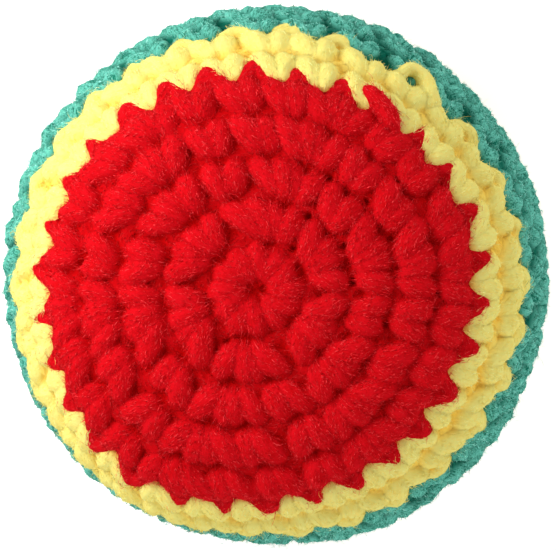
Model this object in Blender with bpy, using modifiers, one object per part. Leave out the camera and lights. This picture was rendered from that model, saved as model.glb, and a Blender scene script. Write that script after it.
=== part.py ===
"""Crocheted footbag at its real size, in metres, +Z up, standing on its flattened base at z = 0.

The cover is worked in rounds of single crochet from the crown's pole to the base's pole: a red crown,
a yellow ring, a green belt, a second yellow ring and a red base. Inside it lie the tails of its yarns,
a cloth liner tied at its neck, and the pellets that fill the liner, as layers of touching pellets.
"""

import math
from bisect import bisect_left
from collections import namedtuple
from itertools import accumulate

import bmesh
import bpy
from mathutils import Vector

MM = 0.001
TURN = 2 * math.pi

# The bag over the crests of its stitches
bag_radius = 27.1 * MM
bag_half_height = 19.2 * MM
rest_flattening = 0.8 * MM
shoulder_exponent = 4.8
belt_exponent = 2.0

# Rounds of crochet, with the height that one round takes along the surface
crown_rounds = 5
ring_rounds = 2
belt_rounds = 5
crown_round_height = 4.25 * MM
ring_round_height = 3.9 * MM
belt_round_height = 4.1 * MM
stitches_added = 6

# The crocheted fabric
cover_thickness = 3.8 * MM
groove_depth = 0.9 * MM
stitch_valley_depth = 0.6 * MM
tooth_height = 1.8 * MM
eye_radius = 0.9 * MM
crest_shares = (0.5,)
rested_crest_shares = (0.25, 0.75)

# Free room between pieces that touch on the real bag, and the distance at which two points are one
clearance = 0.3 * MM
merge_distance = 0.01 * MM

# Tails of the yarns, inside the cover
tail_diameter = 1.5 * MM
knot_diameter = 1.9 * MM
tail_length = 16.0 * MM
tail_points = 12
knot_point = 2
change_angle = math.radians(60)
change_step = math.radians(35)
pole_tail_inner_radius = 1.6 * MM
pole_tail_outer_radius = 6.5 * MM
pole_tail_turns = 1.25
pole_tail_points = 24

# The liner, a cloth pouch gathered into a neck under the crown
liner_thickness = 0.5 * MM
liner_slack = 0.8 * MM
liner_shoulder_exponent = 2.1
liner_base_exponent = 2.9
liner_segments = 24
liner_rows = 11
neck_radius = 2.0 * MM
neck_length = 5.6 * MM
dimple_rows = 4

# The thread that ties the neck
tie_diameter = 0.8 * MM
tie_turns = 3
tie_turn_gap = 0.5 * MM
tie_points_per_turn = 14

# Pellets, eight-sided beads in square layers, each layer in the hollows of the one below. The lowest
# layer is raised because the liner's bottom is round, and the fill ends a little over the neck's root.
pellet_width = 5.0 * MM
pellet_height = 4.6 * MM
pellet_band_height = 1.8 * MM
pellet_bed_rise = 0.5 * MM
pellet_neighbours = ((1, 0), (0, 1), (-1, 0), (0, -1))
dimple_fill = 1.0 * MM

# Yarn, cloth and pellet colours
red = (0.62, 0.004, 0.008)
yellow = (0.84, 0.66, 0.12)
green = (0.015, 0.22, 0.15)
cloth_white = (0.72, 0.70, 0.64)
pellet_white = (0.80, 0.80, 0.78)
yarn_roughness = 0.9
cloth_roughness = 0.85
pellet_roughness = 0.45

# How finely the crest line is walked
meridian_steps = 400

Band = namedtuple("Band", "name colour rounds")
Round = namedtuple("Round", "stitches start end")
Row = namedtuple("Row", "arc depth stitches teeth")
Crest = namedtuple("Crest", "radius height normal_radius normal_height")

bag_height = 2 * bag_half_height - rest_flattening
middle_height = bag_half_height - rest_flattening
inner_floor = cover_thickness
inner_ceiling = bag_height - cover_thickness
full_stitches = crown_rounds * stitches_added
cover_segments = 2 * full_stitches
tail_radius = tail_diameter / 2
knot_radius = knot_diameter / 2
tail_room = tail_diameter + 2 * clearance
dimple_radius = pole_tail_outer_radius + tail_diameter
pellet_sides = 2 * len(pellet_neighbours)
pellet_reach = pellet_width / 2 / math.cos(math.pi / pellet_sides)


def clear_scene():
    """Removes what the scene holds, so that only this model is left in it."""
    for obj in list(bpy.data.objects):
        bpy.data.objects.remove(obj, do_unlink=True)


def new_collection(name):
    """A collection of that name, linked to the scene."""
    collection = bpy.data.collections.new(name)
    bpy.context.scene.collection.children.link(collection)
    return collection


def plain_material(name, colour, roughness):
    """A Principled material of one colour, for one piece."""
    material = bpy.data.materials.new(name)
    material.use_nodes = True
    shader = material.node_tree.nodes["Principled BSDF"]
    shader.inputs["Base Color"].default_value = (*colour, 1)
    shader.inputs["Roughness"].default_value = roughness
    shader.inputs["Metallic"].default_value = 0
    material.diffuse_color = (*colour, 1)
    return material


def place_piece(data, name, collection, colour, roughness):
    """The named object of this mesh or curve, in its collection, with its own material."""
    piece = bpy.data.objects.new(name, data)
    collection.objects.link(piece)
    data.materials.append(plain_material(name, colour, roughness))
    return piece


def walk_meridian():
    """Arc length, radius and height over the middle, down the crest line from the crown's pole to the base's.

    The line is a superellipse. Its steps are spread so that they stay even near the poles.
    """
    upper = []
    for step in range(meridian_steps + 1):
        angle = math.pi / 2 * (step / meridian_steps) ** (shoulder_exponent / 2)
        radius = bag_radius * math.sin(angle) ** (2 / shoulder_exponent)
        height = bag_half_height * max(0.0, math.cos(angle)) ** (2 / belt_exponent)
        upper.append((radius, height))
    lower = [(radius, -height) for radius, height in reversed(upper[:-1])]
    points = upper + lower
    steps = (math.dist(a, b) for a, b in zip(points, points[1:]))
    arcs = accumulate(steps, initial=0.0)
    return [(arc, radius, height) for arc, (radius, height) in zip(arcs, points)]


meridian = walk_meridian()
meridian_arcs = [arc for arc, _, _ in meridian]
meridian_length = meridian_arcs[-1]


def crest_at(arc):
    """The crest line's point at this arc length from the crown's pole, and its outward normal there.

    Heights count from the resting face, and the base is pressed flat against it.
    """
    after = min(max(bisect_left(meridian_arcs, arc), 1), len(meridian) - 1)
    start, end = meridian[after - 1], meridian[after]
    length = end[0] - start[0]
    share = (arc - start[0]) / length
    radius = start[1] + share * (end[1] - start[1])
    height = start[2] + share * (end[2] - start[2]) + middle_height
    if height < 0 or arc >= meridian_length:
        return Crest(radius, 0.0, 0.0, -1.0)
    return Crest(radius, height, (start[2] - end[2]) / length, (end[1] - start[1]) / length)


def cover_point(arc, angle, depth):
    """The point at this depth under the crest line, at this angle round the pole axis."""
    crest = crest_at(arc)
    radius = crest.radius - depth * crest.normal_radius
    height = crest.height - depth * crest.normal_height
    return Vector((radius * math.cos(angle), radius * math.sin(angle), height))


def is_rested(arc):
    """Whether the cover is pressed flat against the resting face here."""
    return crest_at(arc).normal_height == -1.0


def work_bands():
    """The five bands of colour from the crown to the base, each with its rounds.

    The rounds share out the crest line in proportion to their heights.
    """
    crown = [(stitches_added * (index + 1), crown_round_height) for index in range(crown_rounds)]
    ring = [(full_stitches, ring_round_height) for _ in range(ring_rounds)]
    belt = [(full_stitches, belt_round_height) for _ in range(belt_rounds)]
    plans = (
        ("red_crown", red, crown),
        ("yellow_upper_ring", yellow, ring),
        ("green_belt", green, belt),
        ("yellow_lower_ring", yellow, ring),
        ("red_base", red, crown[::-1]),
    )
    stretch = meridian_length / sum(height for _, _, plan in plans for _, height in plan)
    bands = []
    start = 0.0
    for name, colour, plan in plans:
        rounds = []
        for stitches, height in plan:
            rounds.append(Round(stitches, start, start + height * stretch))
            start = rounds[-1].end
        bands.append(Band(name, colour, rounds))
    return bands


def crest_rows(worked_round):
    """The rows of points over the crest of one round, two where the base is pressed flat."""
    rested = is_rested(worked_round.start) and is_rested(worked_round.end)
    shares = rested_crest_shares if rested else crest_shares
    length = worked_round.end - worked_round.start
    arcs = [worked_round.start + share * length for share in shares]
    return [Row(arc, 0.0, 0 if rested else worked_round.stitches, False) for arc in arcs]


def band_rows(rounds):
    """The closed profile of one band: down over its rounds and back up along its inner face."""
    at_crown = rounds[0].start == 0
    at_base = rounds[-1].end > meridian_length - clearance
    start = rounds[0].start + (eye_radius if at_crown else clearance / 2)
    end = rounds[-1].end - (eye_radius if at_base else clearance / 2)
    outer = [Row(start, groove_depth, 0, not at_crown)]
    for index, worked_round in enumerate(rounds):
        if index > 0:
            outer.append(Row(worked_round.start, groove_depth, 0, False))
        outer.extend(crest_rows(worked_round))
    outer.append(Row(end, groove_depth, 0, not at_base))
    inner = [Row(end, cover_thickness, 0, not at_base)]
    inner.extend(Row(each.start, cover_thickness, 0, False) for each in reversed(rounds[1:]))
    inner.append(Row(start, cover_thickness, 0, not at_crown))
    return outer + inner


def stitched_point(row, angle):
    """Where a row's point lies at this angle, with its stitches' valleys and a colour change's teeth."""
    arc = row.arc
    if row.teeth:
        arc += tooth_height / 2 * math.cos(full_stitches * angle)
    valley = (1 - math.cos(row.stitches * angle)) / 2
    return cover_point(arc, angle, row.depth + stitch_valley_depth * valley)


def turned(name, points, segments, closed, merge):
    """The mesh of a profile turned once round the pole axis, as the Screw modifier makes it."""
    profile = bpy.data.meshes.new(name)
    ends = [(index, index + 1) for index in range(len(points) - 1)]
    if closed:
        ends.append((len(points) - 1, 0))
    profile.from_pydata(points, ends, [])
    guide = bpy.data.objects.new(name, profile)
    bpy.context.scene.collection.objects.link(guide)
    screw = guide.modifiers.new("turn", "SCREW")
    screw.steps = segments
    screw.render_steps = segments
    screw.use_merge_vertices = merge
    screw.merge_threshold = merge_distance
    graph = bpy.context.evaluated_depsgraph_get()
    mesh = bpy.data.meshes.new_from_object(guide.evaluated_get(graph))
    bpy.data.objects.remove(guide)
    bpy.data.meshes.remove(profile)
    mesh.name = name
    return mesh


def make_band(band, collection):
    """One colour of the cover: its turned profile, with each point moved to its stitch."""
    rows = band_rows(band.rounds)
    profile = [cover_point(row.arc, 0.0, row.depth) for row in rows]
    mesh = turned(band.name, profile, cover_segments, closed=True, merge=False)
    for vertex in mesh.vertices:
        segment, row = divmod(vertex.index, len(rows))
        vertex.co = stitched_point(rows[row], TURN * segment / cover_segments)
    mesh.shade_smooth()
    return place_piece(mesh, band.name, collection, band.colour, yarn_roughness)


def make_tube(name, route, diameter, swell, collection, colour, roughness):
    """A tube along the route, thickened at each point by its own swell."""
    curve = bpy.data.curves.new(name, "CURVE")
    curve.dimensions = "3D"
    curve.bevel_depth = diameter / 2
    curve.bevel_resolution = 1
    curve.use_fill_caps = True
    spline = curve.splines.new("POLY")
    spline.points.add(len(route) - 1)
    for point, place, factor in zip(spline.points, route, swell):
        point.co = (*place, 1)
        point.radius = factor
    return place_piece(curve, name, collection, colour, roughness)


def knot_swell(index):
    """How much thicker than the tail its knot is, over the first points of the route."""
    nearness = max(0.0, 1 - abs(index - knot_point) / knot_point)
    return 1 + (knot_diameter / tail_diameter - 1) * nearness


def make_change_tail(name, arc, angle, direction, colour, collection):
    """A yarn's tail where the colour changes: its knot, then its end, along the inside of the cover."""
    depth = cover_thickness + clearance + knot_radius
    ring_radius = crest_at(arc).radius - depth * crest_at(arc).normal_radius
    start = angle + direction * (knot_radius + clearance) / ring_radius
    sweep = direction * tail_length / ring_radius
    shares = [index / (tail_points - 1) for index in range(tail_points)]
    route = [cover_point(arc, start + share * sweep, depth) for share in shares]
    swell = [knot_swell(index) for index in range(tail_points)]
    return make_tube(name, route, tail_diameter, swell, collection, colour, yarn_roughness)


def make_pole_tail(name, height, colour, collection):
    """A tail that winds out from under a pole, flat against the inside of the cover."""
    route = []
    for index in range(pole_tail_points):
        share = index / (pole_tail_points - 1)
        radius = pole_tail_inner_radius + share * (pole_tail_outer_radius - pole_tail_inner_radius)
        angle = share * pole_tail_turns * TURN
        route.append(Vector((radius * math.cos(angle), radius * math.sin(angle), height)))
    swell = [1.0] * pole_tail_points
    return make_tube(name, route, tail_diameter, swell, collection, colour, yarn_roughness)


def make_tails(bands, collection):
    """The two tails of each band's yarn, knotted in pairs where the colours meet."""
    first, last = bands[0], bands[-1]
    depth = clearance + tail_radius
    make_pole_tail(f"{first.name}_start_tail", inner_ceiling - depth, first.colour, collection)
    for index, (above, below) in enumerate(zip(bands, bands[1:])):
        arc = below.rounds[0].start
        angle = change_angle + index * change_step
        make_change_tail(f"{above.name}_end_tail", arc, angle, -1, above.colour, collection)
        make_change_tail(f"{below.name}_start_tail", arc, angle, 1, below.colour, collection)
    make_pole_tail(f"{last.name}_closing_tail", inner_floor + depth, last.colour, collection)


def liner_profile():
    """The liner's outer line as radius and height: neck, dimple, and down round to the bottom's middle.

    It lies on the tail at the base, reaches up to the crown, and is rounder than the cover at its
    shoulders, where the knots of the colour changes have their room.
    """
    bottom = inner_floor + tail_room
    top = inner_ceiling - clearance
    middle = (top + bottom) / 2
    reach = bag_radius - cover_thickness - liner_slack
    half = (top - bottom) / 2
    edge_angle = math.asin((dimple_radius / reach) ** (liner_shoulder_exponent / 2))
    edge_height = middle + half * math.cos(edge_angle)
    neck_top = inner_ceiling - tail_room
    root = neck_top - neck_length
    line = [(neck_radius, neck_top), (neck_radius, root)]
    for row in range(1, dimple_rows):
        share = row / dimple_rows
        radius = neck_radius + share * (dimple_radius - neck_radius)
        line.append((radius, root + (edge_height - root) * (1 - math.cos(math.pi * share)) / 2))
    for row in range(liner_rows):
        angle = edge_angle + (math.pi - edge_angle) * row / liner_rows
        exponent = liner_shoulder_exponent if angle < math.pi / 2 else liner_base_exponent
        radius = reach * math.sin(angle) ** (2 / exponent)
        line.append((radius, middle + half * math.cos(angle)))
    line.append((0.0, bottom))
    return line


def make_liner(collection):
    """The pouch: its line turned round the axis, with the cloth's thickness inside it."""
    points = [(radius, 0.0, height) for radius, height in liner_profile()]
    mesh = turned("liner_pouch", points, liner_segments, closed=False, merge=True)
    mesh.shade_smooth()
    liner = place_piece(mesh, "liner_pouch", collection, cloth_white, cloth_roughness)
    cloth = liner.modifiers.new("cloth", "SOLIDIFY")
    cloth.thickness = liner_thickness
    cloth.offset = -1
    return liner


def make_tie(collection):
    """The thread wound round the liner's neck, as one helix, with its least gap to itself printed."""
    neck_top, root = (height for _, height in liner_profile()[:2])
    pitch = tie_diameter + tie_turn_gap
    radius = neck_radius + clearance + tie_diameter / 2
    first = (neck_top + root - tie_turns * pitch) / 2
    route = []
    for index in range(tie_turns * tie_points_per_turn + 1):
        turns = index / tie_points_per_turn
        angle = turns * TURN
        height = first + turns * pitch
        route.append(Vector((radius * math.cos(angle), radius * math.sin(angle), height)))
    near_turn = tie_points_per_turn // 2
    apart = (
        (first_point - other).length
        for index, first_point in enumerate(route)
        for other in route[index + near_turn:]
    )
    print(f"liner_tie: least gap to itself {(min(apart) - tie_diameter) / MM:.2f} mm")
    swell = [1.0] * len(route)
    return make_tube("liner_tie", route, tie_diameter, swell, collection, cloth_white, cloth_roughness)


def line_distance(point, start, end):
    """How far a point of the half plane is from the straight run between two others."""
    along = (end[0] - start[0], end[1] - start[1])
    across = (point[0] - start[0], point[1] - start[1])
    share = (along[0] * across[0] + along[1] * across[1]) / (along[0] ** 2 + along[1] ** 2)
    share = min(max(share, 0.0), 1.0)
    nearest = (start[0] + share * along[0], start[1] + share * along[1])
    return math.dist(point, nearest)


def within(line, point, room):
    """Whether a point of the half plane is inside the line's turned shape, this far from its wall."""
    crossings = 0
    for start, end in zip(line, line[1:]):
        if line_distance(point, start, end) < room:
            return False
        if (start[1] > point[1]) != (end[1] > point[1]):
            share = (point[1] - start[1]) / (end[1] - start[1])
            crossings += start[0] + share * (end[0] - start[0]) > abs(point[0])
    return crossings % 2 == 1


def pellet_fits(line, x, y, height):
    """Whether a pellet with its middle here is clear of the liner's inner face."""
    room = liner_thickness + clearance
    centre = math.hypot(x, y)
    outline = [(centre, pellet_height / 2), (centre, -pellet_height / 2)]
    for side in (-pellet_reach, pellet_reach):
        outline.append((centre + side, pellet_band_height / 2))
        outline.append((centre + side, -pellet_band_height / 2))
    return all(within(line, (abs(radius), height + rise), room) for radius, rise in outline)


def pellet_rim(x, y, height):
    """The corners of a pellet's band at this height, in pairs that face its four neighbours."""
    half = pellet_width / 2
    across = half * math.tan(math.pi / pellet_sides)
    corners = []
    for number in range(len(pellet_neighbours)):
        turn = number * TURN / len(pellet_neighbours)
        for side in (-across, across):
            dx = half * math.cos(turn) - side * math.sin(turn)
            dy = half * math.sin(turn) + side * math.cos(turn)
            corners.append(Vector((x + dx, y + dy, height)))
    return corners


def add_pellet(mesh, cell, cells, shift, height):
    """One pellet of a layer: two blunt cones on an eight-sided band, open where a neighbour joins it."""
    x, y = ((index + shift) * pellet_width for index in cell)
    upper = [mesh.verts.new(co) for co in pellet_rim(x, y, height + pellet_band_height / 2)]
    lower = [mesh.verts.new(co) for co in pellet_rim(x, y, height - pellet_band_height / 2)]
    top = mesh.verts.new((x, y, height + pellet_height / 2))
    bottom = mesh.verts.new((x, y, height - pellet_height / 2))
    for side in range(pellet_sides):
        after = (side + 1) % pellet_sides
        mesh.faces.new((upper[side], upper[after], top))
        mesh.faces.new((lower[after], lower[side], bottom))
        faces_neighbour = side % 2 == 0
        step = pellet_neighbours[side // 2]
        if faces_neighbour and (cell[0] + step[0], cell[1] + step[1]) in cells:
            continue
        mesh.faces.new((lower[side], lower[after], upper[after], upper[side]))


def layer_cells(line, height, shift):
    """The places of a layer's pellets: those of the square pattern that fit in the liner and touch."""
    reach = math.ceil(bag_radius / pellet_width)
    indexes = range(-reach - 1, reach + 1)
    left = {
        (column, row)
        for column in indexes
        for row in indexes
        if pellet_fits(line, (column + shift) * pellet_width, (row + shift) * pellet_width, height)
    }
    largest = set()
    while left:
        group = set()
        waiting = [min(left)]
        while waiting:
            cell = waiting.pop()
            if cell in left:
                left.remove(cell)
                group.add(cell)
                waiting.extend((cell[0] + step[0], cell[1] + step[1]) for step in pellet_neighbours)
        largest = max(largest, group, key=len)
    return largest


def make_pellets(collection):
    """Layers of pellets from the liner's bottom up, each half a pellet aside from the one below it."""
    line = liner_profile()
    slope = (pellet_height - pellet_band_height) / 2 / pellet_reach
    rise = pellet_height - slope * pellet_width / math.sqrt(2) + clearance
    first = line[-1][1] + liner_thickness + clearance + pellet_bed_rise + pellet_height / 2
    neck_root = line[1][1]
    layers = math.ceil((neck_root + dimple_fill - first) / rise)
    total = 0
    for number in range(layers):
        height = first + number * rise
        shift = 0.5 * (number % 2)
        cells = layer_cells(line, height, shift)
        name = f"pellet_layer_{number + 1}"
        layer = bmesh.new()
        for cell in sorted(cells):
            add_pellet(layer, cell, cells, shift, height)
        bmesh.ops.remove_doubles(layer, verts=layer.verts, dist=merge_distance)
        mesh = bpy.data.meshes.new(name)
        layer.to_mesh(mesh)
        layer.free()
        place_piece(mesh, name, collection, pellet_white, pellet_roughness)
        total += len(cells)
    print(f"{total} pellets in {layers} layers")


def main():
    """Makes the footbag's pieces, from the cover inwards."""
    clear_scene()
    collection = new_collection("Footbag")
    bands = work_bands()
    for band in bands:
        make_band(band, collection)
    make_tails(bands, collection)
    make_liner(collection)
    make_tie(collection)
    make_pellets(collection)


if __name__ == "__main__":
    main()
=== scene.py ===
"""Dresses the crocheted footbag: the yarn of its stitches, the loose fibres on it, and what lies inside."""

import math
import random
from bisect import bisect_left
from collections import namedtuple
from itertools import accumulate

import bmesh
import bpy
from bpy.props import FloatProperty, FloatVectorProperty, IntProperty, PointerProperty
from mathutils import Matrix, Vector


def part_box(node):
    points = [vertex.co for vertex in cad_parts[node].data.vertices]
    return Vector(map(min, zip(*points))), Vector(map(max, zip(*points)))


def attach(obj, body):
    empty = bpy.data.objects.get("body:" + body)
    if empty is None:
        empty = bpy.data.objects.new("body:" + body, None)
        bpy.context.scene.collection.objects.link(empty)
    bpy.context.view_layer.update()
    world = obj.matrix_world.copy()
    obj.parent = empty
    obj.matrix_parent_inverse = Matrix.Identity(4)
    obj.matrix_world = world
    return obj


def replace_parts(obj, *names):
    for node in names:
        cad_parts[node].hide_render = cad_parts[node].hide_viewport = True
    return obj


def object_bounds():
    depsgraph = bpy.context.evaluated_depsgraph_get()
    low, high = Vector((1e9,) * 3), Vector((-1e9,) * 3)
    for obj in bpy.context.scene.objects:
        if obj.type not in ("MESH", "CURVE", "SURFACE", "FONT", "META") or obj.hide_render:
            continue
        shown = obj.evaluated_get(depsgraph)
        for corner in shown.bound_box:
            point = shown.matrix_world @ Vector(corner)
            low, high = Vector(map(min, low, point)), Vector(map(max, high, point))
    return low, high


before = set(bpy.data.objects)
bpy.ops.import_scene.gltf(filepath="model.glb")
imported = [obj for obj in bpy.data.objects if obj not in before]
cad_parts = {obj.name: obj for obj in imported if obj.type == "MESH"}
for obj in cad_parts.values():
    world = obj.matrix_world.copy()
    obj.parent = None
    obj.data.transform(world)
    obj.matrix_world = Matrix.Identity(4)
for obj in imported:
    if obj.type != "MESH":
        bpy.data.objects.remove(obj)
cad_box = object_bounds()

bl_info = {
    "name": "Crocheted Footbag",
    "version": (1, 0, 0),
    "blender": (4, 5, 0),
    "location": "3D View > Sidebar > Footbag",
    "description": "Dresses a footbag in crocheted yarn, and makes its liner, pellets and stage",
    "category": "Object",
}

MM = 0.001
SQUARE_CM = (10 * MM) ** 2
TURN = 2 * math.pi

# The crest line of the cover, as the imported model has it
rest_flattening = 0.8 * MM
bag_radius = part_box("green_belt")[1].x
bag_height = cad_box[1].z - cad_box[0].z
bag_half_height = (bag_height + rest_flattening) / 2
middle_height = bag_half_height - rest_flattening
shoulder_exponent = 4.8
belt_exponent = 2.0
meridian_steps = 400

# Rounds of crochet, with the height that one round takes along the surface
crown_rounds = 5
ring_rounds = 2
belt_rounds = 5
crown_round_height = 4.25 * MM
ring_round_height = 3.9 * MM
belt_round_height = 4.1 * MM
stitches_added = 6

# The closed ring of yarn that backs each band's stitches, and the smooth surface through all crests
backing_inner_depth = 3.3 * MM
backing_eye_radius = 0.1 * MM
backing_row_length = 1.4 * MM
backing_segments = 96
crest_rows = 60

# How far from the crown's pole the yarn gets its finest surface
fine_reach = 25 * MM

Band = namedtuple("Band", "name colour rounds")
Round = namedtuple("Round", "stitches start end")
Stitch = namedtuple("Stitch", "left_hole right_hole top")
Strand = namedtuple("Strand", "places outwards thicknesses depths")
Row = namedtuple("Row", "rise spread depth thickness")
Pit = namedtuple("Pit", "arc bearing")
Drift = namedtuple("Drift", "bearing reach way")
Swell = namedtuple("Swell", "arc arc_reach bearing reach height")
Fold = namedtuple("Fold", "count share")
Spin = namedtuple("Spin", "points sides plies twist")
Looseness = namedtuple("Looseness", "lift spread")
Lamp = namedtuple("Lamp", "name way distance size")
Wool = namedtuple(
    "Wool", "mottling glint shallow deep backing hair_count hair_length hair_lift relief creases",
)

# One leg of a stitch from its hole up to its tuck: rise in round heights, spread in stitch widths,
# depth in yarn radii under the crest, and thickness in yarn radii
LEG_ROWS = (
    Row(0.36, 0.05, 2.60, 0.75),
    Row(0.35, 0.07, 1.75, 0.86),
    Row(0.43, 0.12, 1.22, 0.98),
    Row(0.60, 0.19, 1.00, 1.06),
    Row(0.78, 0.25, 1.05, 1.08),
    Row(0.91, 0.28, 1.50, 0.98),
    Row(0.94, 0.28, 2.60, 0.80),
)

# The same leg where it is worked into another colour: its foot starts lower, between two teeth
EDGE_LEG_ROWS = (
    Row(0.18, 0.05, 2.60, 0.75),
    Row(0.19, 0.07, 1.75, 0.86),
    Row(0.30, 0.12, 1.25, 0.97),
    Row(0.54, 0.19, 1.02, 1.04),
    Row(0.77, 0.25, 1.05, 1.08),
    Row(0.91, 0.28, 1.50, 0.98),
    Row(0.94, 0.28, 2.60, 0.80),
)

# The front loop over a stitch's top, from one hole to the next, sunk in the groove between two rounds
LOOP_ROWS = (
    Row(0.10, 0.10, 2.60, 0.80),
    Row(0.14, 0.20, 2.10, 0.90),
    Row(0.18, 0.35, 1.85, 0.95),
    Row(0.20, 0.50, 1.75, 0.95),
    Row(0.18, 0.65, 1.85, 0.95),
    Row(0.14, 0.80, 2.10, 0.90),
    Row(0.10, 0.90, 2.60, 0.80),
)

# The same loop at a change of colour, where it stands out as a tooth between the next colour's stitches
TOOTH_ROWS = (
    Row(0.06, 0.10, 2.60, 0.85),
    Row(0.15, 0.18, 1.65, 0.96),
    Row(0.33, 0.33, 1.20, 0.98),
    Row(0.52, 0.47, 1.02, 0.84),
    Row(0.33, 0.62, 1.22, 0.96),
    Row(0.15, 0.79, 1.70, 0.96),
    Row(0.06, 0.90, 2.60, 0.85),
)

# Where the crown's and the upper ring's lower edges leave their even course: from +X, how far round it
# reaches, and how far it goes away from the crown's pole
CROWN_DRIFTS = (
    Drift(236, 20, 2.15 * MM), Drift(166, 28, 0.95 * MM),
    Drift(14, 18, 0.85 * MM), Drift(328, 18, -0.5 * MM),
)
RING_DRIFTS = (
    Drift(4, 18, 1.3 * MM), Drift(52, 14, -0.5 * MM),
    Drift(282, 12, -0.9 * MM), Drift(172, 28, -0.8 * MM),
)

# Where the cover stands out over its even shape, or is pressed in: arc length from the crown's pole and how
# far it reaches along it, from +X and how far round it reaches, and its height
SWELLS = (
    Swell(26 * MM, 5 * MM, 234, 20, 0.8 * MM),
    Swell(39 * MM, 7 * MM, 238, 14, -0.6 * MM),
    Swell(38 * MM, 8 * MM, 268, 14, -0.6 * MM),
    Swell(36 * MM, 8 * MM, 45, 20, -0.25 * MM),
)

# Where the first round's first hole lies, and how far the eye is drawn together
first_hole = math.radians(6)
eye_draw = 0.07

# How much fuller a stitch's foot is where it stands in its own colour
foot_spread = 0.04
foot_fullness = 0.12

# How far two stitches in one hole stand to either side of it, in stitch widths
shared_hole_spread = 0.2

# Where stitches crowd, a leg's greatest radius, as shares of the yarn's radius and of the leg's own room
crowded_yarn_share = 0.32
crowded_room_share = 1.08

# A loop's thickness as a share of a leg's
loop_share = 0.95

# How one stitch differs from the next: where its top lies, in stitch widths, how full its legs are, how deep
# they lie, in yarn radii, how high their points lie, in round heights, and how deep and how far its loop lies
top_wander = 0.09
leg_puff = 0.06
leg_sink = 0.10
leg_wander = 0.02
loop_sink = 0.12
loop_reach = 0.12

# Open holes between stitches, mostly along the line where the rounds were joined: arc length, and from +X
PITS = (
    Pit(0.5 * MM, 0), Pit(4.2 * MM, 30), Pit(5.3 * MM, 49), Pit(8.8 * MM, 55), Pit(9.4 * MM, 27),
    Pit(9.2 * MM, 5), Pit(13.2 * MM, 57), Pit(13.8 * MM, 39), Pit(13.8 * MM, 21), Pit(13.9 * MM, 9),
    Pit(13.2 * MM, -15), Pit(17.4 * MM, 38), Pit(18.0 * MM, -1), Pit(17.8 * MM, -7), Pit(5.4 * MM, 240),
    Pit(17.5 * MM, 172), Pit(29.1 * MM, 55),
)
pit_point_depth = 0.9 * MM

# The slip stitches that join the last round of the crown and of the upper ring: arc length in mm, degrees
# from +X, depth of the yarn's middle under the crest in mm, and its radius in mm
JOINS = {
    "red_crown": (
        (21.0, 49.5, 1.7, 0.95), (21.7, 51.5, 0.6, 1.05), (22.3, 54.0, 0.3, 1.05), (22.8, 57.0, 0.25, 0.98),
        (23.3, 59.8, 0.25, 0.90), (23.6, 61.5, 0.7, 0.82), (23.5, 62.4, 1.9, 0.70),
    ),
    "yellow_upper_ring": (
        (27.9, 57.6, 1.9, 0.50), (28.5, 57.2, 0.6, 0.56), (29.6, 57.0, 0.1, 0.66), (30.5, 56.0, -0.1, 0.76),
        (30.8, 54.0, -0.1, 0.84), (30.5, 51.8, 0.0, 0.88), (29.5, 49.6, 0.1, 0.86), (28.7, 47.4, 0.4, 0.84),
        (27.9, 45.8, 1.2, 0.80), (27.4, 45.0, 2.4, 0.70),
    ),
}
join_room = math.radians(6)
join_middle_point = 3

# The yarns' tails inside the cover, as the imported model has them
cover_thickness = 3.8 * MM
clearance = 0.3 * MM
tail_diameter = 1.5 * MM
knot_diameter = 1.9 * MM
tail_length = 16.0 * MM
tail_points = 12
knot_point = 2
knot_turns = 1.5
knot_steps = 18
change_angle = math.radians(60)
change_step = math.radians(35)
pole_tail_inner_radius = 1.6 * MM
pole_tail_outer_radius = 6.5 * MM
pole_tail_turns = 1.25
pole_tail_points = 24
tail_room = tail_diameter + 2 * clearance
inner_floor = cover_thickness
inner_ceiling = bag_height - cover_thickness

# Shares of the yarn's own radius: the length of a knot, a tail inside its knot, and a tail's cut end
knot_length_share = 2.2
knotted_share = 0.75
cut_end_share = 0.6

# The liner, a cloth pouch gathered into a neck under the crown, and the thread that ties it
liner_thickness = 0.5 * MM
liner_slack = 0.8 * MM
liner_shoulder_exponent = 2.1
liner_base_exponent = 2.9
neck_radius = 2.0 * MM
neck_length = 5.6 * MM
dimple_radius = pole_tail_outer_radius + tail_diameter
liner_segments = 156
liner_rows = 44
dimple_rows = 14
neck_rows = 12
weld_distance = 0.02 * MM
tie_diameter = 0.8 * MM
tie_turns = 3
tie_turn_gap = 0.5 * MM
tie_points_per_turn = 14

# The stitch that holds the tie's turns: how far it sways and its knot reaches, as shares of the thread's
# diameter, how full its bow is, and how thick its thread and its knot's are, as shares of the turns' thread
tie_stitch_steps = 8
tie_stitch_sway = 0.25
tie_stitch_bow = 0.5
tie_stitch_share = 0.9
tie_knot_reach = 0.75
tie_knot_share = 0.8

# The folds that run out from the liner's neck: how many go round it, and how deep each kind is
gathers = 13
FOLDS = (Fold(gathers, 1.0), Fold(2 * gathers + 3, 0.35), Fold(5, 0.3))

# How deep the folds are, how far they draw the cloth in, how they turn on their way out, in radians per
# metre, and how much of them is lost across the dimple and from there on
fold_slope = 0.09
deepest_fold = 0.7 * MM
fold_draw = 0.25 * MM
fold_turn = 40
dimple_loss = 0.3
fold_fading = 2.2
fold_fading_exponent = 1.5

# The slight sag of the cloth between the pellets: its depth, how many go round, how they follow each other
# down the cloth, in radians per metre, and how far from the axis they reach their depth
sag_depth = 0.12 * MM
sags = 7
sag_step = 900
sag_reach = 8 * MM

# The pellets: how full their sides and ends are, how close to a layer's top a pellet's tip is looked for, how
# far one may tilt, and the smallest as a share of the largest
pellet_layers = 6
pellet_width = 5.0 * MM
pellet_segments = 12
pellet_rings = 6
pellet_side_exponent = 0.6
pellet_end_exponent = 0.7
pellet_tip = 0.01 * MM
pellet_tilt = math.radians(9)
smallest_pellet = 0.93

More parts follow.
